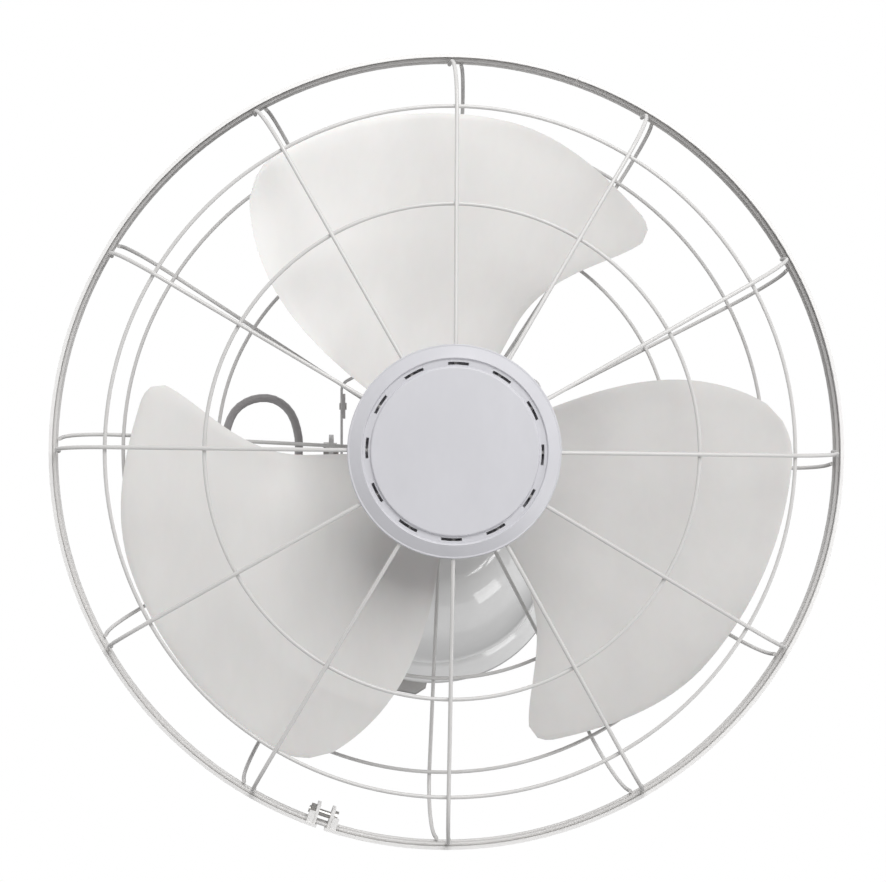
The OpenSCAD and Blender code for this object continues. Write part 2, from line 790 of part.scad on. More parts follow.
module motor_cover_front() {
    outline = concat([[cover_r, cover_split]], cover_nose(0),
        [[neck_r + seat, cover_front], [neck_r + seat, cover_front + cover_face_t]],
        [for (i = [nose_steps : -1 : 0]) cover_nose(cover_wall)[i]],
        [[cover_r - cover_wall, cover_split]]);
    color("white") head_frame() difference() {
        union() {
            rotate_extrude() polygon(outline);
            ring(guard_plate_z + guard_plate_t + seat, cover_front + cover_face_t / 2,
                neck_r + seat, neck_r + 7);
            around(3, boss_at, 90) disc(nose_z - 6, cover_split, cover_boss_r);
            rotate([0, 0, cover_gland_turn]) translate([0, 0, cover_gland_z])
                disc_x(cover_r - 4, cover_gland_r, gland_r + 1.5);
            for (side = [-1, 1]) rotate([0, 0, side * 90]) difference() {
                disc_x(cover_r - 1.5, ring_half_h - ring_strip - 0.4, 6);
                disc_x(cover_r - 2, ring_half_h, pivot_r + seat / 2);
            }
        }
        around(3, boss_at, 90) disc(cover_split - 14, cover_split + cut, 1.5);
        for (side = [-1, 1]) rotate([0, 0, side * 90])
            disc_x(cover_r - 3, cover_r + 2, pivot_r + seat / 2);
        gland_cut(cover_gland_turn, cover_gland_r - 8, cover_gland_z, 4);
    }
}

module motor_cover_rear() {
    low = cover_split + seat;
    top = case_floor - 0.2;
    inner = bell_r + 3.4;
    back_r = cover_r - 5.5;
    color("white") head_frame() difference() {
        union() {
            rotate_extrude() polygon([
                [cover_r, low], [cover_r, low + 4], [cover_r - 1.5, low + 8], [back_r, top],
                [inner, top], [inner, top - 2], [back_r - 1, top - 2], [cover_r - 3.6, low + 7.5],
                [cover_r - cover_wall, low + 4], [cover_r - cover_wall, low]]);
            around(3, boss_at, 90) disc(low, top - 1.9, 3.6);
        }
        around(3, boss_at, 90) disc(low - cut, top + cut, 1.7);
        around(3, boss_at, 90) disc(top - 2, top + cut, 3.1);
    }
}

module cover_screws() {
    top = case_floor - 0.2 - 2 + seat;
    color("gray") head_frame() around(3, boss_at, 90)
        pan_screw(top, cover_split - 10, 1.45, 2.9, 1.8);
}

module gimbal_pivot_screws() {
    outside = ring_half_h + seat;
    head_r = 5.4;
    head_h = 2.6;
    slot = 1.2;
    color("gray") head_frame() for (side = [-1, 1]) rotate([0, 0, side * 90]) {
        disc_x(cover_r - 1.2, outside, pivot_r);
        difference() {
            disc_x(outside, outside + head_h, head_r);
            translate([outside + 1.4, -slot / 2, -head_r - cut])
                cube([head_h, slot, 2 * (head_r + cut)]);
        }
    }
}

// --- Guards ------------------------------------------------------------------

// One spoke along +Y, in front of the band's middle. Its bent end leans sideways
// about the line of its straight stretch, so that both guards' wires meet.
module spoke(inner_r, side_lean) {
    start = [inner_r, -spoke_depth(inner_r)];
    seam = [straight_end_r, -straight_end_depth];
    along = (seam - start) / norm(seam - start);
    open = weld / 2;
    rod_yz(start, seam - open * along, spoke_r);
    seam_yz(seam, spoke_r);
    translate([0, seam[0], seam[1]]) rotate(a = side_lean, v = [0, along[0], along[1]])
        translate([0, -seam[0], -seam[1]]) {
            bend_yz([bend_at, -bend_depth], bend_r, spoke_slope - 90 + open, -open, spoke_r);
            seam_yz([tip_r, -bend_depth], spoke_r);
            rod_yz([tip_r, -bend_depth + open], [tip_r, -tip_depth], spoke_r);
        }
}

// A whole wire guard in front of the band's middle
module guard_wires(inner_r, inner_ring_r, turn, side_lean) {
    for (i = [0 : spokes - 1]) rotate([0, 0, turn + i * 360 / spokes])
        spoke(inner_r, side_lean);
    for (r = [inner_ring_r, ring_2_r, ring_1_r]) wire_ring(r, -ring_depth(r), wire_r);
    wire_ring(rim_wire_r, -rim_wire_depth, wire_r);
}

module front_guard() {
    color("white") head_frame() translate([0, 0, band_z])
        guard_wires(front_hub_r, front_ring_r, front_turn, front_lean);
}

module rear_guard() {
    color("white") head_frame() translate([0, 0, band_z]) mirror([0, 0, 1])
        guard_wires(rear_hub_r, rear_ring_r, rear_turn, rear_lean);
}

module guard_plate() {
    color("white") head_frame() ring(guard_plate_z, guard_plate_z + guard_plate_t,
        neck_r + seat, guard_plate_r);
}

module guard_nut() {
    top = guard_plate_z - seat;
    grips = 12;
    color("white") head_frame() difference() {
        union() {
            ring(top - 2, top, neck_r + seat, guard_nut_r);
            ring(top - guard_nut_h, top - 2, neck_r + seat, guard_nut_r - 3);
        }
        around(grips, guard_nut_r) disc(top - guard_nut_h - cut, top + cut, 2);
    }
}

// Half of the band: a shallow channel that closes over the rim wires
band_lip = 1.9;
joint_gap = 0.6;  // half the angle left open at the screwed joint
hook_turn = 180;  // the hooked joint lies across from the screwed one
hook_root = 0.8;  // how far the tongue is joined to its own half, in degrees
hook_l = 2.4;     // how far it reaches over the other half, in degrees
hook_t = 1.2;
hook_w = 3.6;
module band_arc(a0, a1) {
    half = band_w / 2;
    translate([0, 0, band_z]) rotate([0, 0, a0]) rotate_extrude(angle = a1 - a0) {
        translate([band_r - band_t, -half]) square([band_t, band_w]);
        for (side = [-1, 1]) translate([band_r - band_lip, side * (half - band_t / 2) - band_t / 2])
            square([band_lip, band_t]);
    }
}

// An ear of the screwed joint, with its gusset, at angle 0 on the +X side
ear_l = 11;
ear_t = 2;
ear_y = 3.6;
band_screw_r = 2;
module band_ear(side) {
    inner = band_r - band_lip - ear_l;
    mirror([0, side < 0 ? 1 : 0, 0]) translate([0, 0, band_z]) difference() {
        union() {
            translate([inner, ear_y, -7]) cube([ear_l + band_lip - band_t + 0.4, ear_t, 14]);
            translate([inner + 4, ear_y + ear_t - 0.1, -9.4])
                cube([ear_l + band_lip - band_t - 3.6, 3.6, 1.6]);
        }
        translate([inner + 5, ear_y - cut, 0]) rotate([-90, 0, 0])
            cylinder(h = ear_t + 2 * cut, r = band_screw_r + run_gap);
        for (z = [-1, 1]) translate([rim_wire_r - wire_r - 0.3, ear_y - cut,
            z * rim_wire_depth - wire_r - 0.3])
            cube([band_r, ear_t + 2 * cut, 2 * (wire_r + 0.3)]);
    }
}

module guard_band_left() {
    color("white") head_frame() rotate([0, 0, band_joint + 90]) {
        band_arc(joint_gap, hook_turn - 0.05);
        band_ear(1);
        translate([0, 0, band_z]) rotate([0, 0, hook_turn - hook_root]) {
            rotate_extrude(angle = hook_root + hook_l)
                translate([band_r - band_t - seat - hook_t, -hook_w / 2]) square([hook_t, hook_w]);
            rotate_extrude(angle = hook_root - 0.1)
                translate([band_r - band_t - seat - hook_t, -hook_w / 2])
                    square([hook_t + seat + band_t / 2, hook_w]);
        }
    }
}

module guard_band_right() {
    color("white") head_frame() rotate([0, 0, band_joint + 90]) {
        band_arc(hook_turn + 0.05, 360 - joint_gap);
        band_ear(-1);
    }
}

module band_screw() {
    at = band_r - band_lip - ear_l + 5;
    out = ear_y + ear_t + seat;
    color("gray") head_frame() rotate([0, 0, band_joint + 90]) translate([at, 0, band_z])
        rotate([90, 0, 0]) {
            pan_screw(out, -out - 4, band_screw_r, 3.6, 2.4);
            difference() {
                hex(-out - 3.2, -out, 3.9);
                disc(-out - 4, -out + cut, band_screw_r - 0.01);
            }
        }
}

// --- Front cap -----------------------------------------------------------------

module front_cap() {
    step_z = cap_rim_z - cap_slope_h;
    groove_in = slot_r - 2.1;
    groove_out = slot_r + 2.7;
    groove_deep = 1.2;
    color("white") head_frame() difference() {
        union() {
            rotate_extrude() polygon([
                [0, cap_face_z - 0.7], [30, cap_face_z - 0.5], [groove_in - 0.8, cap_face_z],
                [groove_in, cap_face_z + 0.5], [groove_in + 0.2, step_z + groove_deep],
                [groove_out - 0.2, step_z + groove_deep], [groove_out, step_z],
                [cap_r - 0.8, cap_rim_z - 0.7], [cap_r, cap_rim_z], [cap_r - 0.4, cap_rim_z + 0.4],
                [cap_r - 3, cap_rim_z - 0.2], [groove_out, step_z + cap_wall + 0.7],
                [groove_in - 2, step_z + cap_wall + 0.7], [0, cap_face_z + cap_wall]]);
            around(3, cap_post_at, 90) disc(cap_face_z + 1, backplate_z - seat, cap_post_r);
        }
        around(spokes, slot_r, front_turn + 1.5 + 90) translate([-slot_w / 2, -slot_l / 2, step_z - 3])
            cube([slot_w, slot_l, 10]);
        around(3, cap_post_at, 90) disc(cap_face_z + 5, backplate_z + cut, 1.4);
    }
}

module cap_backplate() {
    color("white") head_frame() difference() {
        disc(backplate_z, backplate_z + backplate_t, backplate_r);
        around(3, cap_post_at, 90) disc(backplate_z - cut, backplate_z + backplate_t + cut, 1.7);
        around(6, 20) disc(backplate_z - cut, backplate_z + backplate_t + cut, 4);
    }
}

module cap_screws() {
    top = backplate_z + backplate_t + seat;
    color("gray") head_frame() around(3, cap_post_at, 90)
        pan_screw(top, cap_face_z + 5.2, 1.35, 2.9, 1.8);
}

// --- Motor lead ------------------------------------------------------------------

cover_gland_turn = -76;
cover_gland_z = -28;
cover_gland_r = cover_r + 0.2;
case_gland_turn = -66;
case_gland_z = case_floor + 17;
gland_l = 9;
gland_r = 5.5;

// The hole that a gland's stem fills
module gland_cut(turn, at, z, stem) {
    rotate([0, 0, turn]) translate([0, 0, z]) disc_x(at, at + 16, stem + seat);
}

module gland(turn, wall_in, wall_out, z) {
    rotate([0, 0, turn]) translate([0, 0, z]) difference() {
        union() {
            disc_x(wall_in - 2, wall_out, 4);
            disc_x(wall_out + 0.1, wall_out + 2.4, gland_r + 1.5);
            disc_x(wall_out, wall_out + 0.5, 4);
            translate([wall_out + 2.4, 0, 0]) rotate([0, 90, 0])
                cylinder(h = gland_l, r1 = gland_r, r2 = lead_d / 2 + 1);
        }
        disc_x(wall_in - 3, wall_out + gland_l + 5, lead_d / 2 - 1.4);
    }
}

module cover_gland() {
    color("dimgray") head_frame()
        gland(cover_gland_turn, cover_gland_r - 5, cover_gland_r, cover_gland_z);
}

module case_gland() {
    color("dimgray") head_frame()
        gland(case_gland_turn, case_r, case_r + case_wall, case_gland_z);
}

// The lead's route in the head's frame: out of the motor cover, up and over in
// the loop that shows beside the cap, and back to the gear case
function polar(turn, r, z) = [r * cos(turn), r * sin(turn), z];
lead_start = cover_gland_r + 2.4 + gland_l + seat;
lead_end = case_r + case_wall + 2.4 + gland_l + seat;
lead_route = [
    polar(cover_gland_turn, lead_start, cover_gland_z),
    polar(cover_gland_turn, lead_start + 4, cover_gland_z),
    polar(cover_gland_turn, lead_start + 7, cover_gland_z),
    [29, -84, -27], [45, -86, -25], [62, -80, -20], [78, -66, -14], [88, -47, -8],
    [92, -27, -2], [93, -8, 2], [93, 9, 4], [98, 25, 4], [109, 34, 5],
    [123, 34, 5], [135, 26, 6], [141, 10, 7], [142, -8, 9], [138, -27, 13],
    [126, -46, 18], [107, -62, 25], [84, -72, 32], [60, -76, 37], [42, -75, 40],
    polar(case_gland_turn, lead_end + 13, case_gland_z),
    polar(case_gland_turn, lead_end + 5, case_gland_z),
    polar(case_gland_turn, lead_end, case_gland_z)];

module motor_lead() {
    color("darkgray") head_frame()
        swept_tube(smooth_path(lead_route, 3), lead_d / 2, 10, [0, 0, 1]);
}

// --- Gimbal ring -------------------------------------------------------------------

plate_y = 29.5;
ring_plate_t = 1.6;
rivet_up = 3.6;
rivet_r = 1.25;
rivet_head_r = 2.2;
side_half = 40;  // half the straight stretch of the ring's sides
end_half = 30;   // half the straight stretch of its ends
ring_bend = 8;   // outer radius of its four pairs of bends
module gimbal_ring() {
    inner_w = ring_half_w - ring_strip;
    inner_h = ring_half_h - ring_strip;
    w = ring_half_w - ring_bend;
    h = ring_half_h - ring_bend;
    corners = [[w, -side_half], [w, side_half], [end_half, h], [-end_half, h],
        [-w, side_half], [-w, -side_half], [-end_half, -h], [end_half, -h]];
    color("white") head_frame() difference() {
        translate([0, 0, -ring_half_z]) linear_extrude(2 * ring_half_z) difference() {
            round_outline(corners, ring_bend);
            round_outline(corners, ring_bend - ring_strip);
        }
        for (side = [-1, 1]) rotate([0, 0, side * 90])
            disc_x(inner_h - cut, ring_half_h + cut, pivot_r + run_gap);
        disc_x(-ring_half_w - cut, ring_half_w + cut, pivot_r + run_gap);
        for (x = [0, 1], y = [-1, 1], z = [-rivet_up, rivet_up]) mirror([x, 0, 0])
            translate([0, y * plate_y, z]) disc_x(inner_w - cut, ring_half_w + cut, rivet_r + seat);
    }
}

module ring_plates() {
    inner_w = ring_half_w - ring_strip - seat;
    color("whitesmoke") head_frame() for (x = [0, 1], y = [-1, 1]) mirror([x, 0, 0])
        translate([0, y * plate_y, 0]) difference() {
            translate([inner_w - ring_plate_t, -8, -6.5]) cube([ring_plate_t, 16, 13]);
            for (z = [-rivet_up, rivet_up]) translate([0, 0, z])
                disc_x(inner_w - 3, inner_w + 1, rivet_r + seat);
        }
}

module ring_rivets() {
    inner = ring_half_w - ring_strip - seat - ring_plate_t;
    color("gray") head_frame()
        for (x = [0, 1], y = [-1, 1], z = [-rivet_up, rivet_up]) mirror([x, 0, 0])
        translate([0, y * plate_y, z]) {
            disc_x(inner - seat, ring_half_w + seat, rivet_r);
            disc_x(ring_half_w + seat, ring_half_w + 0.7, rivet_head_r);
            disc_x(inner - 0.8, inner - seat, rivet_head_r);
        }
}

// --- Rotor ---------------------------------------------------------------------------

worm_end = wheel_z + 6.5;
worm_low = wheel_z - 6.5;
module motor_shaft() {
    color("silver") head_frame() difference() {
        union() {
            disc(shaft_front, worm_low - seat, shaft_r);
            disc(worm_low - seat, worm_end, spindle_r - 0.4);
        }
        translate([0, 0, drive_z]) disc_x(-shaft_r - cut, shaft_r + cut, drive_r + seat / 2);
    }
}

module rotor_core() {
    color("gray") head_frame() {
        ring(stator_z, stator_top, shaft_r + seat / 2, rotor_r);
        for (z = [stator_z - 3, stator_top - 0.5]) ring(z, z + 3.5, rotor_r - 7, rotor_r - 1);
    }
}

// The worm is a round bar that winds around the shaft's end, one turn a pitch
module worm() {
    pitch = wheel_module * 180 * PI / 180;
    turns = (worm_end - worm_low) / pitch;
    // the groove faces the wheel's tooth at the wheel's own height
    phase = 90 + 180 - 360 * (wheel_z - worm_low) / pitch;
    color("silver") head_frame() difference() {
        translate([0, 0, worm_low]) rotate([0, 0, phase])
            linear_extrude(worm_end - worm_low, twist = -360 * turns, slices = 80, $fn = 14)
                translate([worm_throw, 0]) circle(worm_r);
        disc(worm_low - cut, worm_end + cut, spindle_r - 0.4 + seat / 2);
    }
}

blade_span_steps = 9;
blade_root_r = hub_r - 1.4;
blade_mid_z = -118;
blade_mid_turn = -4.5;
function trailing_turn(r) = -54.3 + 18.7 * pow(r / 200, 2.8);
function leading_turn(r) = 28.6 + 15 * ease((r - 85) / 100);
function tip_radius(turn) = blade_r - 16.5 * ease((turn - 8) / 40);
function lead_at(r) = blade_lead * (0.68 + 0.32 * ease((r - hub_r) / 60));
// Places across the chord, closer together at the rounded tip corners
blade_chord = [0, 0.012, 0.04, 0.08, 0.15, 0.26, 0.4, 0.55, 0.7, 0.82, 0.9, 0.95, 0.985, 1];
function corner_drop(u) = let (a = max(0, 1 - u / 0.08), b = max(0, 1 - (1 - u) / 0.05))
    15 * (1 - sqrt(1 - a * a)) + 11 * (1 - sqrt(1 - b * b));
function blade_point(u, v, face) = let (
    edge_turn = trailing_turn(190) + u * (leading_turn(180) - trailing_turn(190)),
    r = blade_root_r + v * (tip_radius(edge_turn) - corner_drop(u) - blade_root_r),
    turn = trailing_turn(r) + u * (leading_turn(r) - trailing_turn(r)),
    z = blade_mid_z + lead_at(r) * (turn - blade_mid_turn) + blade_camber * 4 * u * (1 - u)
        * ease((r - hub_r) / 50),
    thin = 1 - 0.35 * v)
    [-r * sin(turn), r * cos(turn), z + face * blade_t / 2 * thin];

// One blade about the +Y side: two skins of points closed around their edge
module blade() {
    rows = blade_span_steps + 1;
    n = len(blade_chord);
    points = [for (face = [-1, 1], v = [0 : blade_span_steps], u = blade_chord)
        blade_point(u, v / blade_span_steps, face)];
    function at(side, v, u) = side * rows * n + v * n + u;
    front = [for (v = [0 : rows - 2], u = [0 : n - 2]) each
        [[at(0, v, u), at(0, v + 1, u), at(0, v + 1, u + 1)],
         [at(0, v, u), at(0, v + 1, u + 1), at(0, v, u + 1)]]];
    back = [for (v = [0 : rows - 2], u = [0 : n - 2]) each
        [[at(1, v, u), at(1, v + 1, u + 1), at(1, v + 1, u)],
         [at(1, v, u), at(1, v, u + 1), at(1, v + 1, u + 1)]]];
    sides = concat(
        [for (u = [0 : n - 2]) each
            [[at(0, 0, u), at(0, 0, u + 1), at(1, 0, u + 1)],
             [at(0, 0, u), at(1, 0, u + 1), at(1, 0, u)],
             [at(0, rows - 1, u), at(1, rows - 1, u + 1), at(0, rows - 1, u + 1)],
             [at(0, rows - 1, u), at(1, rows - 1, u), at(1, rows - 1, u + 1)]]],
        [for (v = [0 : rows - 2]) each
            [[at(0, v, 0), at(1, v + 1, 0), at(0, v + 1, 0)],
             [at(0, v, 0), at(1, v, 0), at(1, v + 1, 0)],
             [at(0, v, n - 1), at(0, v + 1, n - 1), at(1, v + 1, n - 1)],
             [at(0, v, n - 1), at(1, v + 1, n - 1), at(1, v, n - 1)]]]);
    polyhedron(points, concat(front, back, sides));
}

blade_count = 3;
module blades() {
    color("gainsboro") head_frame() {
        difference() {
            union() {
                ring(hub_front, hub_back, hub_r - hub_wall, hub_r);
                disc(hub_front, hub_front + 4, hub_r - hub_wall + 0.5);
                disc(hub_front, hub_back, hub_boss_r);
            }
            disc(hub_front - cut, hub_back + cut, shaft_r + seat / 2);
            translate([-hub_boss_r - cut, -drive_r - seat, drive_z - drive_r - seat])
                cube([2 * (hub_boss_r + cut), 2 * (drive_r + seat), drive_r * 2 + 6]);
        }
        for (i = [0 : blade_count - 1]) rotate([0, 0, i * 360 / blade_count]) blade();
    }
}

module spinner() {
    low = hub_front - seat;
    color("white") head_frame() difference() {
        rotate_extrude() polygon([[0, low], [24, low], [23, low - 7], [18, low - 13],
            [10, low - 16], [0, low - 17]]);
        disc(shaft_front - 0.5, low + cut, shaft_r + seat / 2);
    }
}

module drive_pin() {
    color("silver") head_frame() translate([0, 0, drive_z])
        disc_x(-hub_boss_r + 0.5, hub_boss_r - 0.5, drive_r);
}

// --- Gear train -----------------------------------------------------------------------

drive_disc_x = 9;
wheel_half = 2.2;

// A gear along X as one outline, its first tooth at a turn from +Y towards +Z
module toothed_disc(x0, x1, teeth, root_r, tip_r, root_w, tip_w, first) {
    function corner(i, r, w) = let (a = first + i * 360 / teeth)
        [r * cos(a) - w * sin(a), r * sin(a) + w * cos(a)];
    translate([x0, 0, 0]) rotate([90, 0, 90]) linear_extrude(x1 - x0)
        polygon([for (i = [0 : teeth - 1]) each
            [corner(i, root_r, -root_w / 2), corner(i, tip_r, -tip_w / 2),
             corner(i, tip_r, tip_w / 2), corner(i, root_r, root_w / 2)]]);
}

module worm_wheel() {
    tip_w = 0.3;
    root_w = 1.3;
    tip_r2 = wheel_r + 0.55;
    root_r = wheel_r - 1;
    color("ivory") head_frame() translate([0, wheel_y, wheel_z]) {
        toothed_disc(-wheel_half, wheel_half, wheel_teeth, root_r, tip_r2, root_w, tip_w, 180);
        disc_x(-spindle_end + 0.5, spindle_end - 0.5, spindle_r);
        disc_x(drive_disc_x, drive_disc_x + 2, 7);
    }
}

module clutch_pinion() {
    tip_w = 0.75;
    root_w = 1.55;
    tooth_tip = pinion_r + tooth_up;
    root_r = pinion_r - tooth_down;
    color("ivory") head_frame() translate([0, wheel_y, wheel_z]) difference() {
        union() {
            toothed_disc(pinion_x - pinion_half, pinion_x + pinion_half, pinion_teeth, root_r,
                tooth_tip, root_w, tip_w, 90 + 180 / pinion_teeth);
            disc_x(pinion_x - pinion_half - 3, pinion_x - pinion_half, 6);
        }
        disc_x(pinion_x - pinion_half - 4, pinion_x + pinion_half + cut, spindle_r + run_gap);
    }
}

spring_turns = 4;
spring_sides = 24;
module clutch_spring() {
    low = drive_disc_x + 2 + 0.6;
    high = pinion_x - pinion_half - 3 - 0.6;
    steps = spring_turns * spring_sides;
    coil = [for (i = [0 : steps]) let (a = i * 360 / spring_sides)
        [low + (high - low) * i / steps, 4.2 * cos(a), 4.2 * sin(a)]];
    color("silver") head_frame() translate([0, wheel_y, wheel_z])
        swept_tube(coil, 0.5, 6, [0, 1, 0]);
}

// --- Drawing --------------------------------------------------------------------------

ceiling_plate();
base_frame();
frame_bolts();
main_bush();
yoke();
yoke_screws();
pivot_screws();
pivot_nuts();
canopy();
canopy_screws();
terminal_block();
terminal_screws();
capacitor();
cable_grommet();
crank();
crank_washer();
crank_nut();
output_gear();
gear_clip();
gear_case();
gear_case_cover();
gear_case_screws();
case_bush();
thrust_washer();
motor_rear_bell();
motor_front_bell();
stator_core();
stator_windings();
motor_tie_screws();
rear_bearing();
front_bearing();
motor_cover_front();
motor_cover_rear();
cover_screws();
gimbal_pivot_screws();
rear_guard();
guard_plate();
guard_nut();
front_guard();
guard_band_left();
guard_band_right();
band_screw();
front_cap();
cap_backplate();
cap_screws();
motor_lead();
cover_gland();
case_gland();
gimbal_ring();
ring_plates();
ring_rivets();
motor_shaft();
rotor_core();
worm();
blades();
spinner();
drive_pin();
worm_wheel();
clutch_pinion();
clutch_spring();
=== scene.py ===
"""Looks of an orbital ceiling fan: a caged head that leans and circles below a bell canopy.

Sizes in the classes are millimetres in the head's own frame, where the axis is Z and the front
is towards -Z, or in the ceiling's frame for what hangs there. Meshes are built in metres.
"""

import logging
import math
from collections.abc import Iterable, Iterator, Sequence
from contextlib import contextmanager
from dataclasses import dataclass
from enum import Enum
from functools import cache

import bmesh
import bpy
from bpy.types import Material, Mesh, Node, NodeTree, Object
from bpy.types import NodeSocket as Socket
from mathutils import Matrix, Vector


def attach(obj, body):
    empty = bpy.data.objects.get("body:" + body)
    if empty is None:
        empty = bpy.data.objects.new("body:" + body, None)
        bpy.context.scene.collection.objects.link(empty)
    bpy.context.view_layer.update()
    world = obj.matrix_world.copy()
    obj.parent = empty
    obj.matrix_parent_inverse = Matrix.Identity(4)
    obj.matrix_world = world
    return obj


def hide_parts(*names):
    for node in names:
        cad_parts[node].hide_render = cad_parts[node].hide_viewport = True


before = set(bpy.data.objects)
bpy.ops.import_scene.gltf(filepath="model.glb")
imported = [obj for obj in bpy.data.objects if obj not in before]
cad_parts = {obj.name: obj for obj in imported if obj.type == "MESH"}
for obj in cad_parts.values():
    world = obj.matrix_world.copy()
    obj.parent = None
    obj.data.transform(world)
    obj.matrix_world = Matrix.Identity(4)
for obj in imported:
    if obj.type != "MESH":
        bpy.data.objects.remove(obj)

LOG = logging.getLogger("orbital_fan")
MM = 0.001
LEAN = math.radians(28.0)
PIVOT_DROP = 182.0
HEAD = Matrix.Translation((0.0, 0.0, -PIVOT_DROP * MM)) @ Matrix.Rotation(-LEAN, 4, "X")
CEILING = Matrix.Identity(4)
BAND_Z = -119.0
CREASE = 38.0
MERGE = 1e-6
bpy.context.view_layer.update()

Point = tuple[float, float, float]
Outline = list[tuple[float, float]]
Faces = list[tuple[int, ...]]
Solid = tuple[list[Point], Faces]
Pairs = tuple[tuple[float, float], ...]


def ease(t: float) -> float:
    """Return a smooth step of t from 0 to 1."""
    c = min(max(t, 0.0), 1.0)
    return c * c * (3.0 - 2.0 * c)


# --- Node trees ---


class Value:
    """An output socket that takes arithmetic and adds its own Math nodes."""

    def __init__(self, owner: "Tree", socket: Socket) -> None:
        """Wrap a socket of the tree that owns it."""
        self.owner = owner
        self.socket = socket

    def __add__(self, other: "float | Value") -> "Value":
        """Return the sum."""
        return self.owner.maths("ADD", self, other)

    def __mul__(self, other: "float | Value") -> "Value":
        """Return the product."""
        return self.owner.maths("MULTIPLY", self, other)


class Tree:
    """A node tree under construction."""

    def __init__(self, tree: NodeTree) -> None:
        """Take the tree that gets the nodes."""
        self.tree = tree

    def node(self, kind: str, settings: dict | None = None, **sockets: object) -> Node:
        """Add a node.

        Args:
            kind: Blender's name of the node's type.
            settings: Properties that are set first. "stops" sets a ramp's stops.
            sockets: Numbers, colours or links for its sockets, with _ for a space.

        Returns:
            The node.
        """
        node = self.tree.nodes.new(kind)
        for key, value in (settings or {}).items():
            if key == "stops":
                stops = node.color_ramp.elements
                while len(stops) < len(value):
                    stops.new(0.5)
                for stop, (place, colour) in zip(stops, value):
                    stop.position, stop.color = place, (*colour, 1.0)
            else:
                setattr(node, key, value)
        for key, value in sockets.items():
            self.link(value, node.inputs[key.replace("_", " ")])
        return node

    def link(self, value: object, place: Socket) -> None:
        """Fill an input.

        Args:
            value: A number, colour, node, socket or wrapped socket.
            place: The input.
        """
        if isinstance(value, Value):
            value = value.socket
        elif isinstance(value, Node):
            value = value.outputs[0]
        if isinstance(value, Socket):
            self.tree.links.new(value, place)
        else:
            place.default_value = value

    def maths(self, operation: str, *terms: "float | Node | Socket | Value") -> Value:
        """Add a Math node.

        Args:
            operation: Blender's name of the operation.
            terms: Its terms in order.

        Returns:
            The node's result.
        """
        node = self.node("ShaderNodeMath", {"operation": operation})
        for place, term in zip(node.inputs, terms):
            self.link(term, place)
        return Value(self, node.outputs[0])


@dataclass(frozen=True)
class Grain:
    """A soft noise.

    Attributes:
        scale: Waves per metre.
        detail: Octaves.
        rough: Strength of the finer octaves.
        span: Where it begins and ends to show, or none for all of it.
    """

    scale: float
    detail: float = 2.0
    rough: float = 0.5
    span: tuple[float, float] | None = None


class Paint(Tree):
    """A material under construction around one Principled shader."""

    mix_low: int = 6
    mix_high: int = 7
    mix_result: int = 2

    def __init__(self, name: str) -> None:
        """Start a material.

        Args:
            name: Its name.
        """
        self.material = bpy.data.materials.new(name)
        self.material.use_nodes = True
        super().__init__(self.material.node_tree)
        self.shader = self.tree.nodes["Principled BSDF"]

    def set(self, **sockets: object) -> None:
        """Fill or link the shader's own sockets, with _ for a space."""
        for key, value in sockets.items():
            self.link(value, self.shader.inputs[key.replace("_", " ")])

    def where(self) -> Value:
        """Return the piece's own coordinates, in metres."""
        node = self.tree.nodes.get("Where") or self.tree.nodes.new("ShaderNodeTexCoord")
        node.name = "Where"
        return Value(self, node.outputs["Object"])

    def mapped(self, vector: Value | None = None, **place: Point) -> Value:
        """Return coordinates that a Mapping node changes.

        Args:
            vector: Coordinates, or the piece's own if none.
            place: The node's Location, Rotation and Scale.

        Returns:
            The new coordinates.
        """
        node = self.node("ShaderNodeMapping", Vector=vector or self.where(), **place)
        return Value(self, node.outputs[0])

    def in_head(self) -> Value:
        """Return the coordinates in the head's own frame, in metres."""
        place = HEAD.inverted()
        return self.mapped(Location=tuple(place.translation), Rotation=tuple(place.to_euler()))

    def noise(self, grain: Grain, vector: Value | None = None) -> Value:
        """Add a noise.

        Args:
            grain: How it looks.
            vector: Coordinates, or the piece's own if none.

        Returns:
            The noise, from 0 to 1.
        """
        sizes = {"Scale": grain.scale, "Detail": grain.detail, "Roughness": grain.rough}
        node = self.node("ShaderNodeTexNoise", Vector=vector or self.where(), **sizes)
        if grain.span:
            smooth = {"interpolation_type": "SMOOTHSTEP"}
            low, high = grain.span
            node = self.node("ShaderNodeMapRange", smooth, Value=node, From_Min=low, From_Max=high)
        return Value(self, node.outputs[0])

    def mix(self, factor: Value, low: Point | Value, high: Point | Value) -> Value:
        """Mix two colours.

        Args:
            factor: The share of the second one.
            low: The colour at 0.
            high: The colour at 1.

        Returns:
            The colour between them.
        """
        node = self.node("ShaderNodeMix", {"data_type": "RGBA"})
        self.link(factor, node.inputs[0])
        for place, colour in ((self.mix_low, low), (self.mix_high, high)):
            wrapped = isinstance(colour, Value)
            self.link(colour if wrapped else (*colour, 1.0), node.inputs[place])
        return Value(self, node.outputs[self.mix_result])

    def bump(self, height: Value, strength: float, distance: float) -> None:
        """Feed a height to the shader's normal.

        Args:
            height: The height, from 0 to 1.
            strength: How strong the bump is.
            distance: The height's size in metres.
        """
        node = self.node("ShaderNodeBump", Height=height, Strength=strength, Distance=distance)
        self.set(Normal=node)


# --- Finishes ---

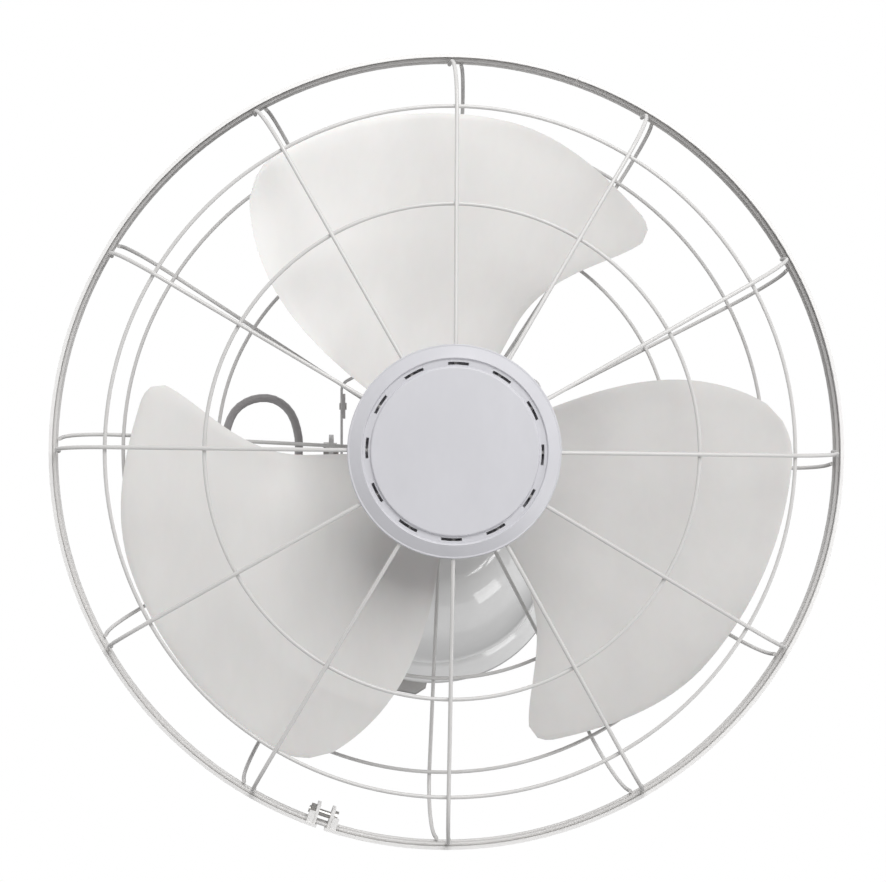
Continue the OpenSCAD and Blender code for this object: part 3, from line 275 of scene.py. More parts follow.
CLOUDS = Grain(9.0, 3.0, 0.6, (0.3, 0.7))
SMEARS = Grain(34.0, 4.0, 0.65)
PEEL = Grain(150.0, 1.0, 0.4)
SPECKS = Grain(620.0, 3.0, 0.7, (0.70, 0.80))
DUSTY_PLACES = Grain(24.0, span=(0.45, 0.65))
SPARKS = Grain(2600.0, 2.0, 0.6)
WAVES = Grain(60.0)
STREAKS = Grain(26.0, 4.0, 0.7, (0.3, 0.72))
BRUSH_MARKS = Grain(1.0, 3.0, 0.6)
BLOTS = Grain(70.0, 5.0, 0.7, (0.52, 0.7))
SHEET_LINES = Grain(0.5, 1.0, 0.3)
DRAG_LINES = Grain(700.0, 3.0, 0.6)
DENTS = Grain(150.0)
SCUFFS = Grain(90.0, 5.0, 0.75, (0.55, 0.75))
PATCHES = Grain(30.0)
FLOOR_TONES = Grain(2.0, 3.0)


class Sheen(Enum):
    """How smooth a coat or a moulding is, as a roughness."""

    GLOSS = 0.1
    SEMI = 0.24
    SATIN = 0.36
    MATT = 0.55


@dataclass(frozen=True)
class Finish:
    """A surface finish whose base colour and roughness wander a little."""

    name: str
    colour: Point
    sheen: Sheen = Sheen.SATIN
    drift: float = 0.03
    smeared: float = 0.35
    clean: float = 0.82

    def scaled(self, factor: float) -> Point:
        """Return the base colour made darker or lighter."""
        return tuple(min(1.0, c * factor) for c in self.colour)

    def clouded(self, paint: Paint) -> Value:
        """Return the base colour with faint clouds."""
        return paint.mix(paint.noise(CLOUDS), self.scaled(1.0 - self.drift), self.colour)

    def shade(self, paint: Paint) -> None:
        """Add the colour, where other finishes add more."""
        paint.set(Base_Color=self.clouded(paint))

    def material(self) -> Material:
        """Build the procedural material.

        Returns:
            The material.
        """
        paint = Paint(self.name)
        rough = self.sheen.value
        smears = paint.noise(SMEARS) * (rough * self.smeared)
        paint.set(Roughness=smears + rough * self.clean)
        self.shade(paint)
        return paint.material


@dataclass(frozen=True)
class Enamel(Finish):
    """Baked enamel on wide steel faces, with a slight orange peel and dust."""

    dust: Point = (0.60, 0.57, 0.52)
    dusty: float = 0.22

    def shade(self, paint: Paint) -> None:
        """Add the orange peel and faint dust.

        Args:
            paint: The material under construction.
        """
        paint.bump(paint.noise(PEEL), strength=0.1, distance=0.00004)
        specks = paint.noise(SPECKS) * paint.noise(DUSTY_PLACES)
        paint.set(Base_Color=paint.mix(specks * self.dusty, self.clouded(paint), self.dust))
        paint.set(Coat_Weight=0.25, Coat_Roughness=0.16)


@dataclass(frozen=True)
class Moulding(Finish):
    """A moulded plastic with flow lines and a fine spark-eroded texture."""

    flow: float = 0.012
    flow_stretch: Point = (1.0, 0.35, 1.0)
    translucency: float = 0.0
    coat: float = 0.0
    texture: float = 0.18

    def shade(self, paint: Paint) -> None:
        """Add the flow lines and the texture.

        Args:
            paint: The material under construction.
        """
        skin = paint.noise(SPARKS) * 0.5 + paint.noise(WAVES) * 0.5
        paint.bump(skin, strength=self.texture, distance=0.00005)
        streaks = paint.noise(STREAKS, paint.mapped(Scale=self.flow_stretch))
        low, high = self.scaled(1.0 - 3.0 * self.flow), self.scaled(1.0 + self.flow)
        paint.set(Base_Color=paint.mix(streaks, low, high))
        paint.set(Subsurface_Weight=self.translucency, Subsurface_Scale=0.004)
        paint.set(Coat_Weight=self.coat, Coat_Roughness=0.04)


@dataclass(frozen=True)
class Metal(Finish):
    """Bare metal with brushing along one axis of its own."""

    clean: float = 0.75
    metallic: float = 1.0
    brushing: Point = (40.0, 40.0, 1400.0)
    groove_tone: float = 0.86
    stain: Point = (0.35, 0.33, 0.30)
    stained: float = 0.15
    groove_rough: float = 0.14
    stain_rough: float = 0.12

    def shade(self, paint: Paint) -> None:
        """Add brush marks and faint stains.

        Args:
            paint: The material under construction.
        """
        marks = paint.noise(BRUSH_MARKS, paint.mapped(Scale=self.brushing))
        paint.bump(marks, strength=0.2, distance=0.00003)
        blots = paint.noise(BLOTS)
        tone = paint.mix(marks, self.scaled(self.groove_tone), self.colour)
        paint.set(Base_Color=paint.mix(blots * self.stained, tone, self.stain))
        paint.set(Metallic=self.metallic)
        wear = marks * self.groove_rough + blots * self.stain_rough
        paint.set(Roughness=wear + self.sheen.value * self.clean)


@dataclass(frozen=True)
class Laminations(Finish):
    """Stacked sheet steel: dark lines square to the head's axis."""

    sheet: float = 0.0005
    across: float = 6.0
    gap_tone: float = 0.6

    def shade(self, paint: Paint) -> None:
        """Add the stack's lines.

        Args:
            paint: The material under construction.
        """
        stretch = (self.across, self.across, 1.0 / self.sheet)
        lines = paint.noise(SHEET_LINES, paint.mapped(paint.in_head(), Scale=stretch))
        paint.bump(lines, strength=0.4, distance=0.0001)
        paint.set(Base_Color=paint.mix(lines, self.scaled(self.gap_tone), self.colour))
        paint.set(Metallic=0.7)


@dataclass(frozen=True)
class Windings(Finish):
    """Enamelled wire laid around the head's axis."""

    gap_tone: float = 0.35
    lay_scale: float = 420.0
    wobble: float = 1.5

    def shade(self, paint: Paint) -> None:
        """Add the turns of wire.

        Args:
            paint: The material under construction.
        """
        lay = paint.node(
            "ShaderNodeTexWave",
            {"wave_type": "RINGS", "rings_direction": "Z", "wave_profile": "SIN"},
            Vector=paint.in_head(),
            Scale=self.lay_scale,
            Distortion=self.wobble,
            Detail=2.0,
        )
        turns = Value(paint, lay.outputs[1])
        paint.bump(turns, strength=0.7, distance=0.0003)
        paint.set(Base_Color=paint.mix(turns, self.scaled(self.gap_tone), self.colour))
        paint.set(Metallic=0.5, Coat_Weight=0.4)


@dataclass(frozen=True)
class Sheath(Finish):
    """A cable sheath or rubber with faint drag lines and scuffs."""

    patch_tone: float = 0.9
    scuff_tone: float = 1.25
    scuffed: float = 0.3
    scuff_rough: float = 0.12

    def shade(self, paint: Paint) -> None:
        """Add drag lines and scuffs.

        Args:
            paint: The material under construction.
        """
        scuffs = paint.noise(SCUFFS)
        skin = paint.noise(DRAG_LINES) * 0.6 + paint.noise(DENTS) * 0.4
        paint.bump(skin, strength=0.25, distance=0.0001)
        tone = paint.mix(paint.noise(PATCHES), self.scaled(self.patch_tone), self.colour)
        lighter = self.scaled(self.scuff_tone)
        paint.set(Base_Color=paint.mix(scuffs * self.scuffed, tone, lighter))
        paint.set(Roughness=scuffs * self.scuff_rough + self.sheen.value)


GREASE = (0.06, 0.05, 0.03)
FINISHES = {
    "enamel": Enamel("white_enamel", (0.80, 0.79, 0.785), Sheen.SEMI),
    # Painted shade: the guard wires have the same white enamel as the other steel, with a darker
    # colour that stands in for the shade on thin wires.
    "wire": Finish("wire_enamel", (0.66, 0.65, 0.64), Sheen.SEMI),
    # Painted light: the band has the same white enamel as the other steel, with a lighter colour
    # that stands in for light falling on its inner face.
    "band": Finish("band_enamel", (0.88, 0.87, 0.86)),
    "cap": Moulding("cap_moulding", (0.635, 0.632, 0.665)),
    "blade": Moulding("blade_moulding", (0.74, 0.73, 0.715), translucency=0.08),
    "gloss": Moulding("canopy_moulding", (0.88, 0.88, 0.875), Sheen.GLOSS, coat=1.0, texture=0.02),
    "zinc": Metal("zinc_plate", (0.62, 0.61, 0.6), Sheen.MATT, metallic=0.6, brushing=(260.0,) * 3),
    "screw": Metal("screw_plating", (0.58, 0.57, 0.55)),
    "turned": Metal("turned_steel", (0.60, 0.60, 0.61), brushing=(30.0, 1500.0, 1500.0)),
    "sintered": Metal("sintered_gear", (0.16, 0.16, 0.165), Sheen.MATT, stained=0.5, stain=GREASE),
    "bronze": Metal("oiled_bronze", (0.56, 0.36, 0.16), stain=(0.22, 0.12, 0.05)),
    "casting": Metal("die_casting", (0.55, 0.55, 0.56), Sheen.MATT, brushing=(500.0,) * 3),
    "core": Laminations("lamination_stack", (0.20, 0.20, 0.22)),
    "copper": Windings("enamelled_copper", (0.50, 0.20, 0.07), Sheen.SEMI),
    "gear": Moulding("greased_ivory", (0.76, 0.72, 0.60)),
    "box": Moulding("grey_moulding", (0.46, 0.46, 0.45), Sheen.MATT),
    "rubber": Sheath("black_rubber", (0.035, 0.035, 0.036), Sheen.MATT),
    "sheath": Sheath("grey_sheath", (0.40, 0.385, 0.39)),
}
NODE_FINISH = {
    "enamel": "yoke guard_plate gimbal_ring ring_plates "
    "motor_cover_front motor_cover_rear gear_case gear_case_cover",
    "band": "guard_band_left guard_band_right",
    "cap": "cap_backplate guard_nut spinner",
    "zinc": "ceiling_plate base_frame",
    "screw": "frame_bolts yoke_screws pivot_screws pivot_nuts canopy_screws terminal_screws "
    "gear_case_screws motor_tie_screws cover_screws gimbal_pivot_screws band_screw cap_screws "
    "crank_washer crank_nut gear_clip drive_pin ring_rivets thrust_washer",
    "turned": "crank motor_shaft worm clutch_spring",
    "sintered": "output_gear",
    "bronze": "main_bush case_bush rear_bearing front_bearing",
    "casting": "motor_rear_bell motor_front_bell rotor_core",
    "core": "stator_core",
    "copper": "stator_windings",
    "gear": "worm_wheel clutch_pinion terminal_block",
    "box": "capacitor",
    "rubber": "cable_grommet",
}


@cache
def coat(key: str) -> Material:
    """Return the material of a finish, made at its first use."""
    return FINISHES[key].material()


def dress_nodes() -> None:
    """Put a finish on every node that keeps its own shape."""
    for key, names in NODE_FINISH.items():
        for name in names.split():
            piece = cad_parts[name]
            piece.data.materials.clear()
            piece.data.materials.append(coat(key))
            LOG.info("%s: %s", name, key)


# --- Mesh helpers ---


@contextmanager
def editing(mesh: Mesh) -> Iterator[bmesh.types.BMesh]:
    """Open a mesh for changes and write it back.

    Args:
        mesh: The mesh.

    Yields:
        Its editable form.
    """
    work = bmesh.new()
    work.from_mesh(mesh)
    yield work
    work.to_mesh(mesh)
    work.free()


def finished(
    name: str,
    points: Iterable[Sequence[float]],
    faces: Faces,
    place: Matrix,
    material: Material,
    crease: float = CREASE,
) -> Object:
    """Make a smooth-shaded object at the origin from points in millimetres.

    Args:
        name: The piece's name.
        points: Its points in the frame that place stands for.
        faces: Its faces.
        place: The frame's matrix, in metres.
        material: Its material.
        crease: Edges bent by more degrees than this stay sharp.

    Returns:
        The object.
    """
    mesh = bpy.data.meshes.new(name)
    mesh.from_pydata([place @ (Vector(p) * MM) for p in points], [], faces)
    with editing(mesh) as work:
        bmesh.ops.remove_doubles(work, verts=work.verts, dist=MERGE)
        bmesh.ops.recalc_face_normals(work, faces=work.faces)
    return dressed(name, mesh, material, crease)


def dressed(name: str, mesh: Mesh, material: Material, crease: float) -> Object:
    """Link a mesh as a piece with its material and sharp edges.

    Args:
        name: The piece's name.
        mesh: Its mesh.
        material: Its material.
        crease: Edges bent by more degrees than this stay sharp.

    Returns:
        The object.
    """
    mesh.name = name
    mesh.polygons.foreach_set("use_smooth", [True] * len(mesh.polygons))
    mesh.set_sharp_from_angle(angle=math.radians(crease))
    mesh.materials.clear()
    mesh.materials.append(material)
    piece = bpy.data.objects.new(name, mesh)
    bpy.context.scene.collection.objects.link(piece)
    return piece


def settled(piece: Object, name: str, material: Material, crease: float) -> Object:
    """Replace a piece with live modifiers by one with a plain mesh.

    Args:
        piece: The piece, which is removed.
        name: The new piece's name.
        material: Its material.
        crease: Edges bent by more degrees than this stay sharp.

    Returns:
        The new piece.
    """
    bpy.context.view_layer.update()
    graph = bpy.context.evaluated_depsgraph_get()
    mesh = bpy.data.meshes.new_from_object(piece.evaluated_get(graph))
    bpy.data.objects.remove(piece)
    return dressed(name, mesh, material, crease)


def polyline(name: str, line: Sequence[Vector]) -> Object:
    """Link a curve of straight stretches.

    Args:
        name: Its name.
        line: Its points in metres.

    Returns:
        The curve's object.
    """
    curve = bpy.data.curves.new(name, "CURVE")
    curve.dimensions = "3D"
    spline = curve.splines.new("POLY")
    spline.points.add(len(line) - 1)
    for point, place in zip(spline.points, line):
        point.co = (*place, 1.0)
    piece = bpy.data.objects.new(name, curve)
    bpy.context.scene.collection.objects.link(piece)
    return piece


def wrapped(rings: int, steps: int, closed: bool) -> Faces:
    """Return the faces between neighbouring rings of points.

    Args:
        rings: How many rings there are.
        steps: Points in each ring.
        closed: Whether the last ring joins the first.

    Returns:
        The faces.
    """
    faces = []
    for ring in range(rings if closed else rings - 1):
        one, two = ring * steps, (ring + 1) % rings * steps
        for i in range(steps):
            j = (i + 1) % steps
            faces.append((one + i, one + j, two + j, two + i))
    return faces


def lathe(outline: Outline, steps: int, closed: bool = True) -> Solid:
    """Turn an outline of radius and height around Z.

    Args:
        outline: Points of radius and height.
        steps: Faces around.
        closed: Whether the last point joins the first.

    Returns:
        Points and faces.
    """
    turns = [math.tau * i / steps for i in range(steps)]
    points = [(r * math.cos(a), r * math.sin(a), height) for r, height in outline for a in turns]
    return points, wrapped(len(outline), steps, closed)


def arc(
    centre: tuple[float, float], radius: float, start: float, end: float, steps: int
) -> Outline:
    """Return points of an arc in radius and height, with angles in degrees."""
    turns = [math.radians(start + (end - start) * i / steps) for i in range(steps + 1)]
    return [(centre[0] + radius * math.cos(a), centre[1] + radius * math.sin(a)) for a in turns]


# --- Geometry Nodes ---


class Graph(Tree):
    """A Geometry Nodes tree with named inputs."""

    wire_sides: int = 14

    def __init__(self, name: str) -> None:
        """Start a tree with a geometry input and output.

        Args:
            name: Its name.
        """
        super().__init__(bpy.data.node_groups.new(name, "GeometryNodeTree"))
        kind = "NodeSocketGeometry"
        for way in ("INPUT", "OUTPUT"):
            self.tree.interface.new_socket("Geometry", in_out=way, socket_type=kind)
        self.start = self.tree.nodes.new("NodeGroupInput")
        self.end = self.tree.nodes.new("NodeGroupOutput")
        self.values: dict[str, float | int] = {}

    def size(self, name: str, value: float | int) -> Socket:
        """Add a named input.

        Args:
            name: The input's name.
            value: Its value, a whole number for a count.

        Returns:
            The socket to link from.
        """
        kind = "NodeSocketInt" if isinstance(value, int) else "NodeSocketFloat"
        self.tree.interface.new_socket(name, in_out="INPUT", socket_type=kind)
        self.values[name] = value
        return self.start.outputs[name]

    def join(self, parts: Sequence[Node]) -> Node:
        """Join several geometries.

        Args:
            parts: The nodes that make them.

        Returns:
            The joining node.
        """
        node = self.node("GeometryNodeJoinGeometry")
        for part in reversed(parts):
            self.link(part, node.inputs[0])
        return node

    def circle(self, steps: int, radius: Socket) -> Node:
        """Return a circle around Z."""
        return self.node("GeometryNodeCurvePrimitiveCircle", Resolution=steps, Radius=radius)

    def realized(self, shape: Node) -> Node:
        """Return a geometry whose instances are real."""
        return self.node("GeometryNodeRealizeInstances", Geometry=shape)

    def moved(self, shape: Node, **place: Point) -> Node:
        """Return a geometry with a Translation, a Scale or both."""
        return self.node("GeometryNodeTransform", Geometry=shape, **place)

    def tube(self, line: Node | Socket, radius: Socket, capped: bool = False) -> Node:
        """Lay a round wire along a curve.

        Args:
            line: The curve.
            radius: The wire's radius.
            capped: Whether its ends are closed.

        Returns:
            The wire's node.
        """
        return self.node(
            "GeometryNodeCurveToMesh",
            Curve=line,
            Profile_Curve=self.circle(self.wire_sides, radius),
            Fill_Caps=capped,
        )

    def around(self, shape: Node | Socket, count: Socket, turn: Socket) -> Node:
        """Repeat a shape around Z.

        Args:
            shape: The geometry.
            count: How many.
            turn: The first one's turn in radians.

        Returns:
            The instances' node.
        """
        points = self.node("GeometryNodePoints", Count=count)
        share = self.maths("DIVIDE", self.node("GeometryNodeInputIndex"), count)
        angle = self.maths("MULTIPLY_ADD", share, math.tau, turn)
        spin = {"Rotation": self.node("ShaderNodeCombineXYZ", Z=angle)}
        return self.node("GeometryNodeInstanceOnPoints", Points=points, Instance=shape, **spin)

    def apply(self, piece: Object, last: Node, material: Material) -> None:
        """Close the tree with Realize Instances and Set Material, and put it on a piece.

        Args:
            piece: The object that gets the modifier.
            last: The node that makes the geometry.
            material: The material it gets.
        """
        shape = self.realized(last)
        last = self.node("GeometryNodeSetMaterial", Geometry=shape, Material=material)
        self.link(last, self.end.inputs[0])
        modifier = piece.modifiers.new("Build", "NODES")
        modifier.node_group = self.tree
        for item in self.tree.interface.items_tree:
            if item.in_out == "INPUT" and item.name in self.values:
                modifier[item.identifier] = self.values[item.name]


# --- The guards ---


class Side(Enum):
    """Which guard, as the sign of its height from the band's middle."""

    FRONT = -1
    REAR = 1


@dataclass
class Guard:
    """One wire guard: bent spokes, three rings and a rim wire, welded where they cross."""

    side: Side
    inner_r: float
    inner_ring_r: float
    turn: float
    sideways: float
    spokes: int = 12
    rings: tuple[float, float] = (198.0, 141.0)
    ring_steps: int = 168
    wire_d: float = 2.3
    ring_d: float = 2.2
    band_r: float = 235.0
    band_t: float = 1.2
    bend: float = 40.0
    bend_steps: int = 14
    straight_knots: tuple[float, ...] = (0.25, 0.5, 0.75, 0.92)
    hub_depth: float = 69.7
    hub_r: float = 40.0
    slope: float = math.radians(8.2)
    rim_depth: float = 4.0
    tip_depth: float = 0.9
    weld: float = 0.04
    seat: float = 0.05
    room: float = 0.09
    bead_r: float = 1.25
    bead_shape: Point = (1.15, 1.15, 0.62)
    bead_segments: int = 10
    bead_rings: int = 6
    crease: float = 50.0

    def __post_init__(self) -> None:
        """Work out the places that follow from the sizes."""
        self.rim_r = self.band_r - self.band_t - self.seat - self.ring_d / 2
        self.tip_r = self.rim_r - self.ring_d / 2 - self.wire_d / 2 - self.weld - self.room
        self.elbow_r = self.tip_r - self.bend
        self.seam_r = self.elbow_r + self.bend * math.sin(self.slope)
        self.seam_depth = self.hub_depth - (self.seam_r - self.hub_r) * math.tan(self.slope)
        self.elbow_depth = self.seam_depth - self.bend * math.cos(self.slope)
        self.step = self.wire_d / 2 + self.ring_d / 2 + self.weld

    def spoke_depth(self, radius: float) -> float:
        """Return how far the straight stretch lies from the band's middle at a radius."""
        return self.seam_depth + (self.seam_r - radius) * math.tan(self.slope)

    def ring_depth(self, radius: float) -> float:
        """Work out how far a ring that lies on the spokes is from the band's middle.

        Args:
            radius: The ring's radius.

        Returns:
            The distance.
        """
        if radius < self.seam_r:
            return self.spoke_depth(radius) - self.step / math.cos(self.slope)
        reach = math.sqrt((self.bend - self.step) ** 2 - (radius - self.elbow_r) ** 2)
        return self.elbow_depth + reach

    def centreline(self) -> list[Vector]:
        """Lay out a spoke's centreline along +Y, in front of the band's middle.

        Returns:
            Its points, from the hub to the tip.
        """
        along = Vector((0.0, math.cos(self.slope), math.sin(self.slope)))
        start = Vector((0.0, self.inner_r, -self.spoke_depth(self.inner_r)))
        seam = Vector((0.0, self.seam_r, -self.seam_depth))
        elbow = Vector((0.0, self.elbow_r, -self.elbow_depth))
        bent = []
        for i in range(self.bend_steps + 1):
            a = self.slope - math.pi / 2 + (math.pi / 2 - self.slope) * i / self.bend_steps
            bent.append(elbow + Vector((0.0, math.cos(a), math.sin(a))) * self.bend)
        bent.append(Vector((0.0, self.tip_r, -self.tip_depth)))
        lean = Matrix.Rotation(math.radians(self.sideways), 3, along)
        line = [start, *(start.lerp(seam, t) for t in self.straight_knots)]
        return line + [seam + lean @ (point - seam) for point in bent]

    def weld_line(self) -> list[Vector]:
        """Find where the rings are welded to a spoke.

        Returns:
            The places along the spoke.
        """
        spots = []
        half = self.step / 2
        for radius in (*self.rings, self.inner_ring_r):
            depth = self.ring_depth(radius)
            if radius < self.seam_r:
                touch = Vector((0.0, radius - math.sin(self.slope) * half, -depth - half))
            else:
                away = Vector((0.0, radius - self.elbow_r, self.elbow_depth - depth))
                touch = Vector((0.0, radius, -depth)) + away.normalized() * half
            spots.append(touch)
        return spots

    def build(self) -> Object:
        """Build the guard.

        Returns:
            The welded guard, riding on the head.
        """
        name = f"{self.side.name.lower()}_guard"
        seed = polyline(name + "_line", [p * MM for p in self.centreline()])
        graph = Graph(name + "_wires")
        count = graph.size("Spokes", self.spokes)
        turn = graph.size("Turn", math.radians(self.turn))
        wire = graph.size("Spoke radius", self.wire_d / 2 * MM)
        ring = graph.size("Ring radius", self.ring_d / 2 * MM)
        spokes = graph.around(graph.start.outputs["Geometry"], count, turn)
        parts = [graph.tube(graph.realized(spokes), wire, capped=True)]
        rings = [(r, self.ring_depth(r)) for r in (*self.rings, self.inner_ring_r)]
        for i, (radius, depth) in enumerate([*rings, (self.rim_r, self.rim_depth)]):
            circle = graph.circle(self.ring_steps, graph.size(f"Ring {i + 1}", radius * MM))
            tube = graph.tube(circle, ring)
            parts.append(graph.moved(tube, Translation=(0.0, 0.0, -depth * MM)))
        bead = graph.size("Weld size", self.bead_r * MM)
        faces = {"Segments": self.bead_segments, "Rings": self.bead_rings}
        for spot in self.weld_line():
            ball = graph.node("GeometryNodeMeshUVSphere", Radius=bead, **faces)
            place = {"Translation": tuple(spot * MM), "Scale": self.bead_shape}
            parts.append(graph.around(graph.moved(ball, **place), count, turn))
        flip = (1.0, 1.0, float(-self.side.value))
        last = graph.moved(graph.realized(graph.join(parts)), Scale=flip)
        graph.apply(seed, last, coat("wire"))
        piece = settled(seed, name + "_wire", coat("wire"), self.crease)
        piece.data.transform(HEAD @ Matrix.Translation((0.0, 0.0, BAND_Z * MM)))
        with editing(piece.data) as work:
            bmesh.ops.recalc_face_normals(work, faces=work.faces)
        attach(piece, "head")
        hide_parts(name)
        return piece


# --- Blades ---


@dataclass
class BladeSet:
    """Three swept blades on a short hub, one moulding."""

    blades: int = 3
    blade_r: float = 203.0
    thickness: float = 2.4
    tip_thinner: float = 0.35
    lead: float = 0.7
    root_lead: float = 0.68
    root_run: float = 60.0
    camber: float = 5.0
    camber_run: float = 50.0
    trail_turn: float = -54.3
    trail_sweep: float = 18.7
    trail_r: float = 200.0
    trail_power: float = 2.8
    lead_turn: float = 28.6
    lead_sweep: float = 15.0
    lead_from: float = 85.0
    lead_run: float = 100.0
    tip_cut: float = 16.5
    tip_from: float = 8.0
    tip_run: float = 40.0
    tip_chord: tuple[float, float] = (190.0, 180.0)
    tip_corners: tuple[Point, Point] = ((0.0, 0.08, 15.0), (1.0, 0.05, 11.0))
    hub_r: float = 37.0
    hub_front: float = -143.0
    hub_back: float = -97.0
    hub_wall: float = 3.0
    hub_floor: float = 4.0
    hub_round: float = 2.0
    hub_chamfer: float = 0.5
    hub_steps: int = 128
    boss_r: float = 9.0
    bore_r: float = 4.05
    root_sunk: float = 1.4
    mid_z: float = -118.0
    mid_turn: float = -4.5
    across: int = 44
    crowded: float = 0.35
    along: int = 40
    along_power: float = 1.25
    edge_round: tuple[float, float] = (0.35, 0.85)
    crease: float = 42.0

    def trailing(self, radius: float) -> float:
        """Return the trailing edge's angle at a radius, in degrees."""
        return self.trail_turn + self.trail_sweep * (radius / self.trail_r) ** self.trail_power

    def leading(self, radius: float) -> float:
        """Return the leading edge's angle at a radius, in degrees."""
        return self.lead_turn + self.lead_sweep * ease((radius - self.lead_from) / self.lead_run)

    def tip(self, turn: float) -> float:
        """Return the tip's radius at an angle."""
        return self.blade_r - self.tip_cut * ease((turn - self.tip_from) / self.tip_run)

    def corner(self, u: float) -> float:
        """Round the tip's two corners.

        Args:
            u: Place across the chord, 0 at the trailing edge.

        Returns:
            How far the tip draws in there.
        """
        inset = 0.0
        for place, width, deep in self.tip_corners:
            near = max(0.0, 1.0 - abs(u - place) / width)
            inset += deep * (1.0 - math.sqrt(1.0 - near * near))
        return inset

    def point(self, u: float, v: float, face: float) -> Point:
        """Return a point of the blade's skin.

        Args:
            u: Place across the chord, 0 at the trailing edge.
            v: Place along the span, 0 at the hub.
            face: -1 for the front skin, 1 for the back, or between for the edge.

        Returns:
            The point, for a blade about +Y.
        """
        trail, lead = self.trailing(self.tip_chord[0]), self.leading(self.tip_chord[1])
        edge = trail + u * (lead - trail)
        root = self.hub_r - self.root_sunk
        radius = root + v * (self.tip(edge) - self.corner(u) - root)
        turn = self.trailing(radius) + u * (self.leading(radius) - self.trailing(radius))
        out = radius - self.hub_r
        grown = self.root_lead + (1.0 - self.root_lead) * ease(out / self.root_run)
        z = self.mid_z + self.lead * grown * (turn - self.mid_turn)
        z += self.camber * 4.0 * u * (1.0 - u) * ease(out / self.camber_run)
        z += face * self.thickness / 2.0 * (1.0 - self.tip_thinner * v)
        a = math.radians(turn)
        return (-radius * math.sin(a), radius * math.cos(a), z)

    def blade(self) -> Solid:
        """Make one blade, closed, with a round edge.

        Returns:
            Its points and faces.
        """
        us = [0.5 - 0.5 * math.cos(math.pi * i / self.across) for i in range(self.across + 1)]
        even = (1.0 - self.crowded) / self.across
        us = [self.crowded * a + even * i for i, a in enumerate(us)]
        vs = [1.0 - (1.0 - j / self.along) ** self.along_power for j in range(self.along + 1)]
        points: list[Point] = []
        index: dict[tuple[int, int, int], int] = {}
        for side in (-1, 1):
            for j, v in enumerate(vs):
                for i, u in enumerate(us):
                    inwards = min(i, self.across - i, self.along - j, len(self.edge_round))
                    share = (*self.edge_round, 1.0)[inwards]
                    index[side, j, i] = len(points)
                    points.append(self.point(u, v, side * share))
        faces = []
        for j in range(self.along):
            for i in range(self.across):
                quad = [(j, i), (j, i + 1), (j + 1, i + 1), (j + 1, i)]
                faces.append(tuple(index[(-1, *q)] for q in quad))
                faces.append(tuple(index[(1, *q)] for q in reversed(quad)))
        rim = [(j, 0) for j in range(self.along + 1)]
        rim += [(self.along, i) for i in range(1, self.across + 1)]
        rim += [(j, self.across) for j in reversed(range(self.along))]
        rim += [(0, i) for i in reversed(range(1, self.across))]
        for one, two in zip(rim, rim[1:] + rim[:1]):
            corners = ((-1, *one), (-1, *two), (1, *two), (1, *one))
            faces.append(tuple(index[corner] for corner in corners))
        return points, faces

    def hub(self) -> Solid:
        """Make the hub, a cup with a boss.

        Returns:
            Its points and faces.
        """
        r, front, back, soft = self.hub_r, self.hub_front, self.hub_back, self.hub_round
        floor, inside, cut = front + self.hub_floor, r - self.hub_wall, self.hub_chamfer
        outline = [(self.bore_r, back), (self.boss_r, back), (self.boss_r, floor)]
        outline += [(inside, floor), (inside, back), (r - cut, back), (r, back - cut)]
        outline += [(r, front + soft), *arc((r - soft, front + soft), soft, -5, -90, 5)]
        outline += [(self.bore_r, front)]
        return lathe(outline, self.hub_steps)

    def build(self) -> Object:
        """Build the moulding.

        Returns:
            The blades and hub, riding on the rotor.
        """
        points, faces = self.hub()
        blade, skin = self.blade()
        for i in range(self.blades):
            turn = Matrix.Rotation(math.tau * i / self.blades, 3, "Z")
            base = len(points)
            points += [tuple(turn @ Vector(p)) for p in blade]
            faces += [tuple(base + k for k in f) for f in skin]
        piece = finished("fan_blades", points, faces, HEAD, coat("blade"), self.crease)
        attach(piece, "rotor")
        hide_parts("blades")
        return piece


# --- Cap ---


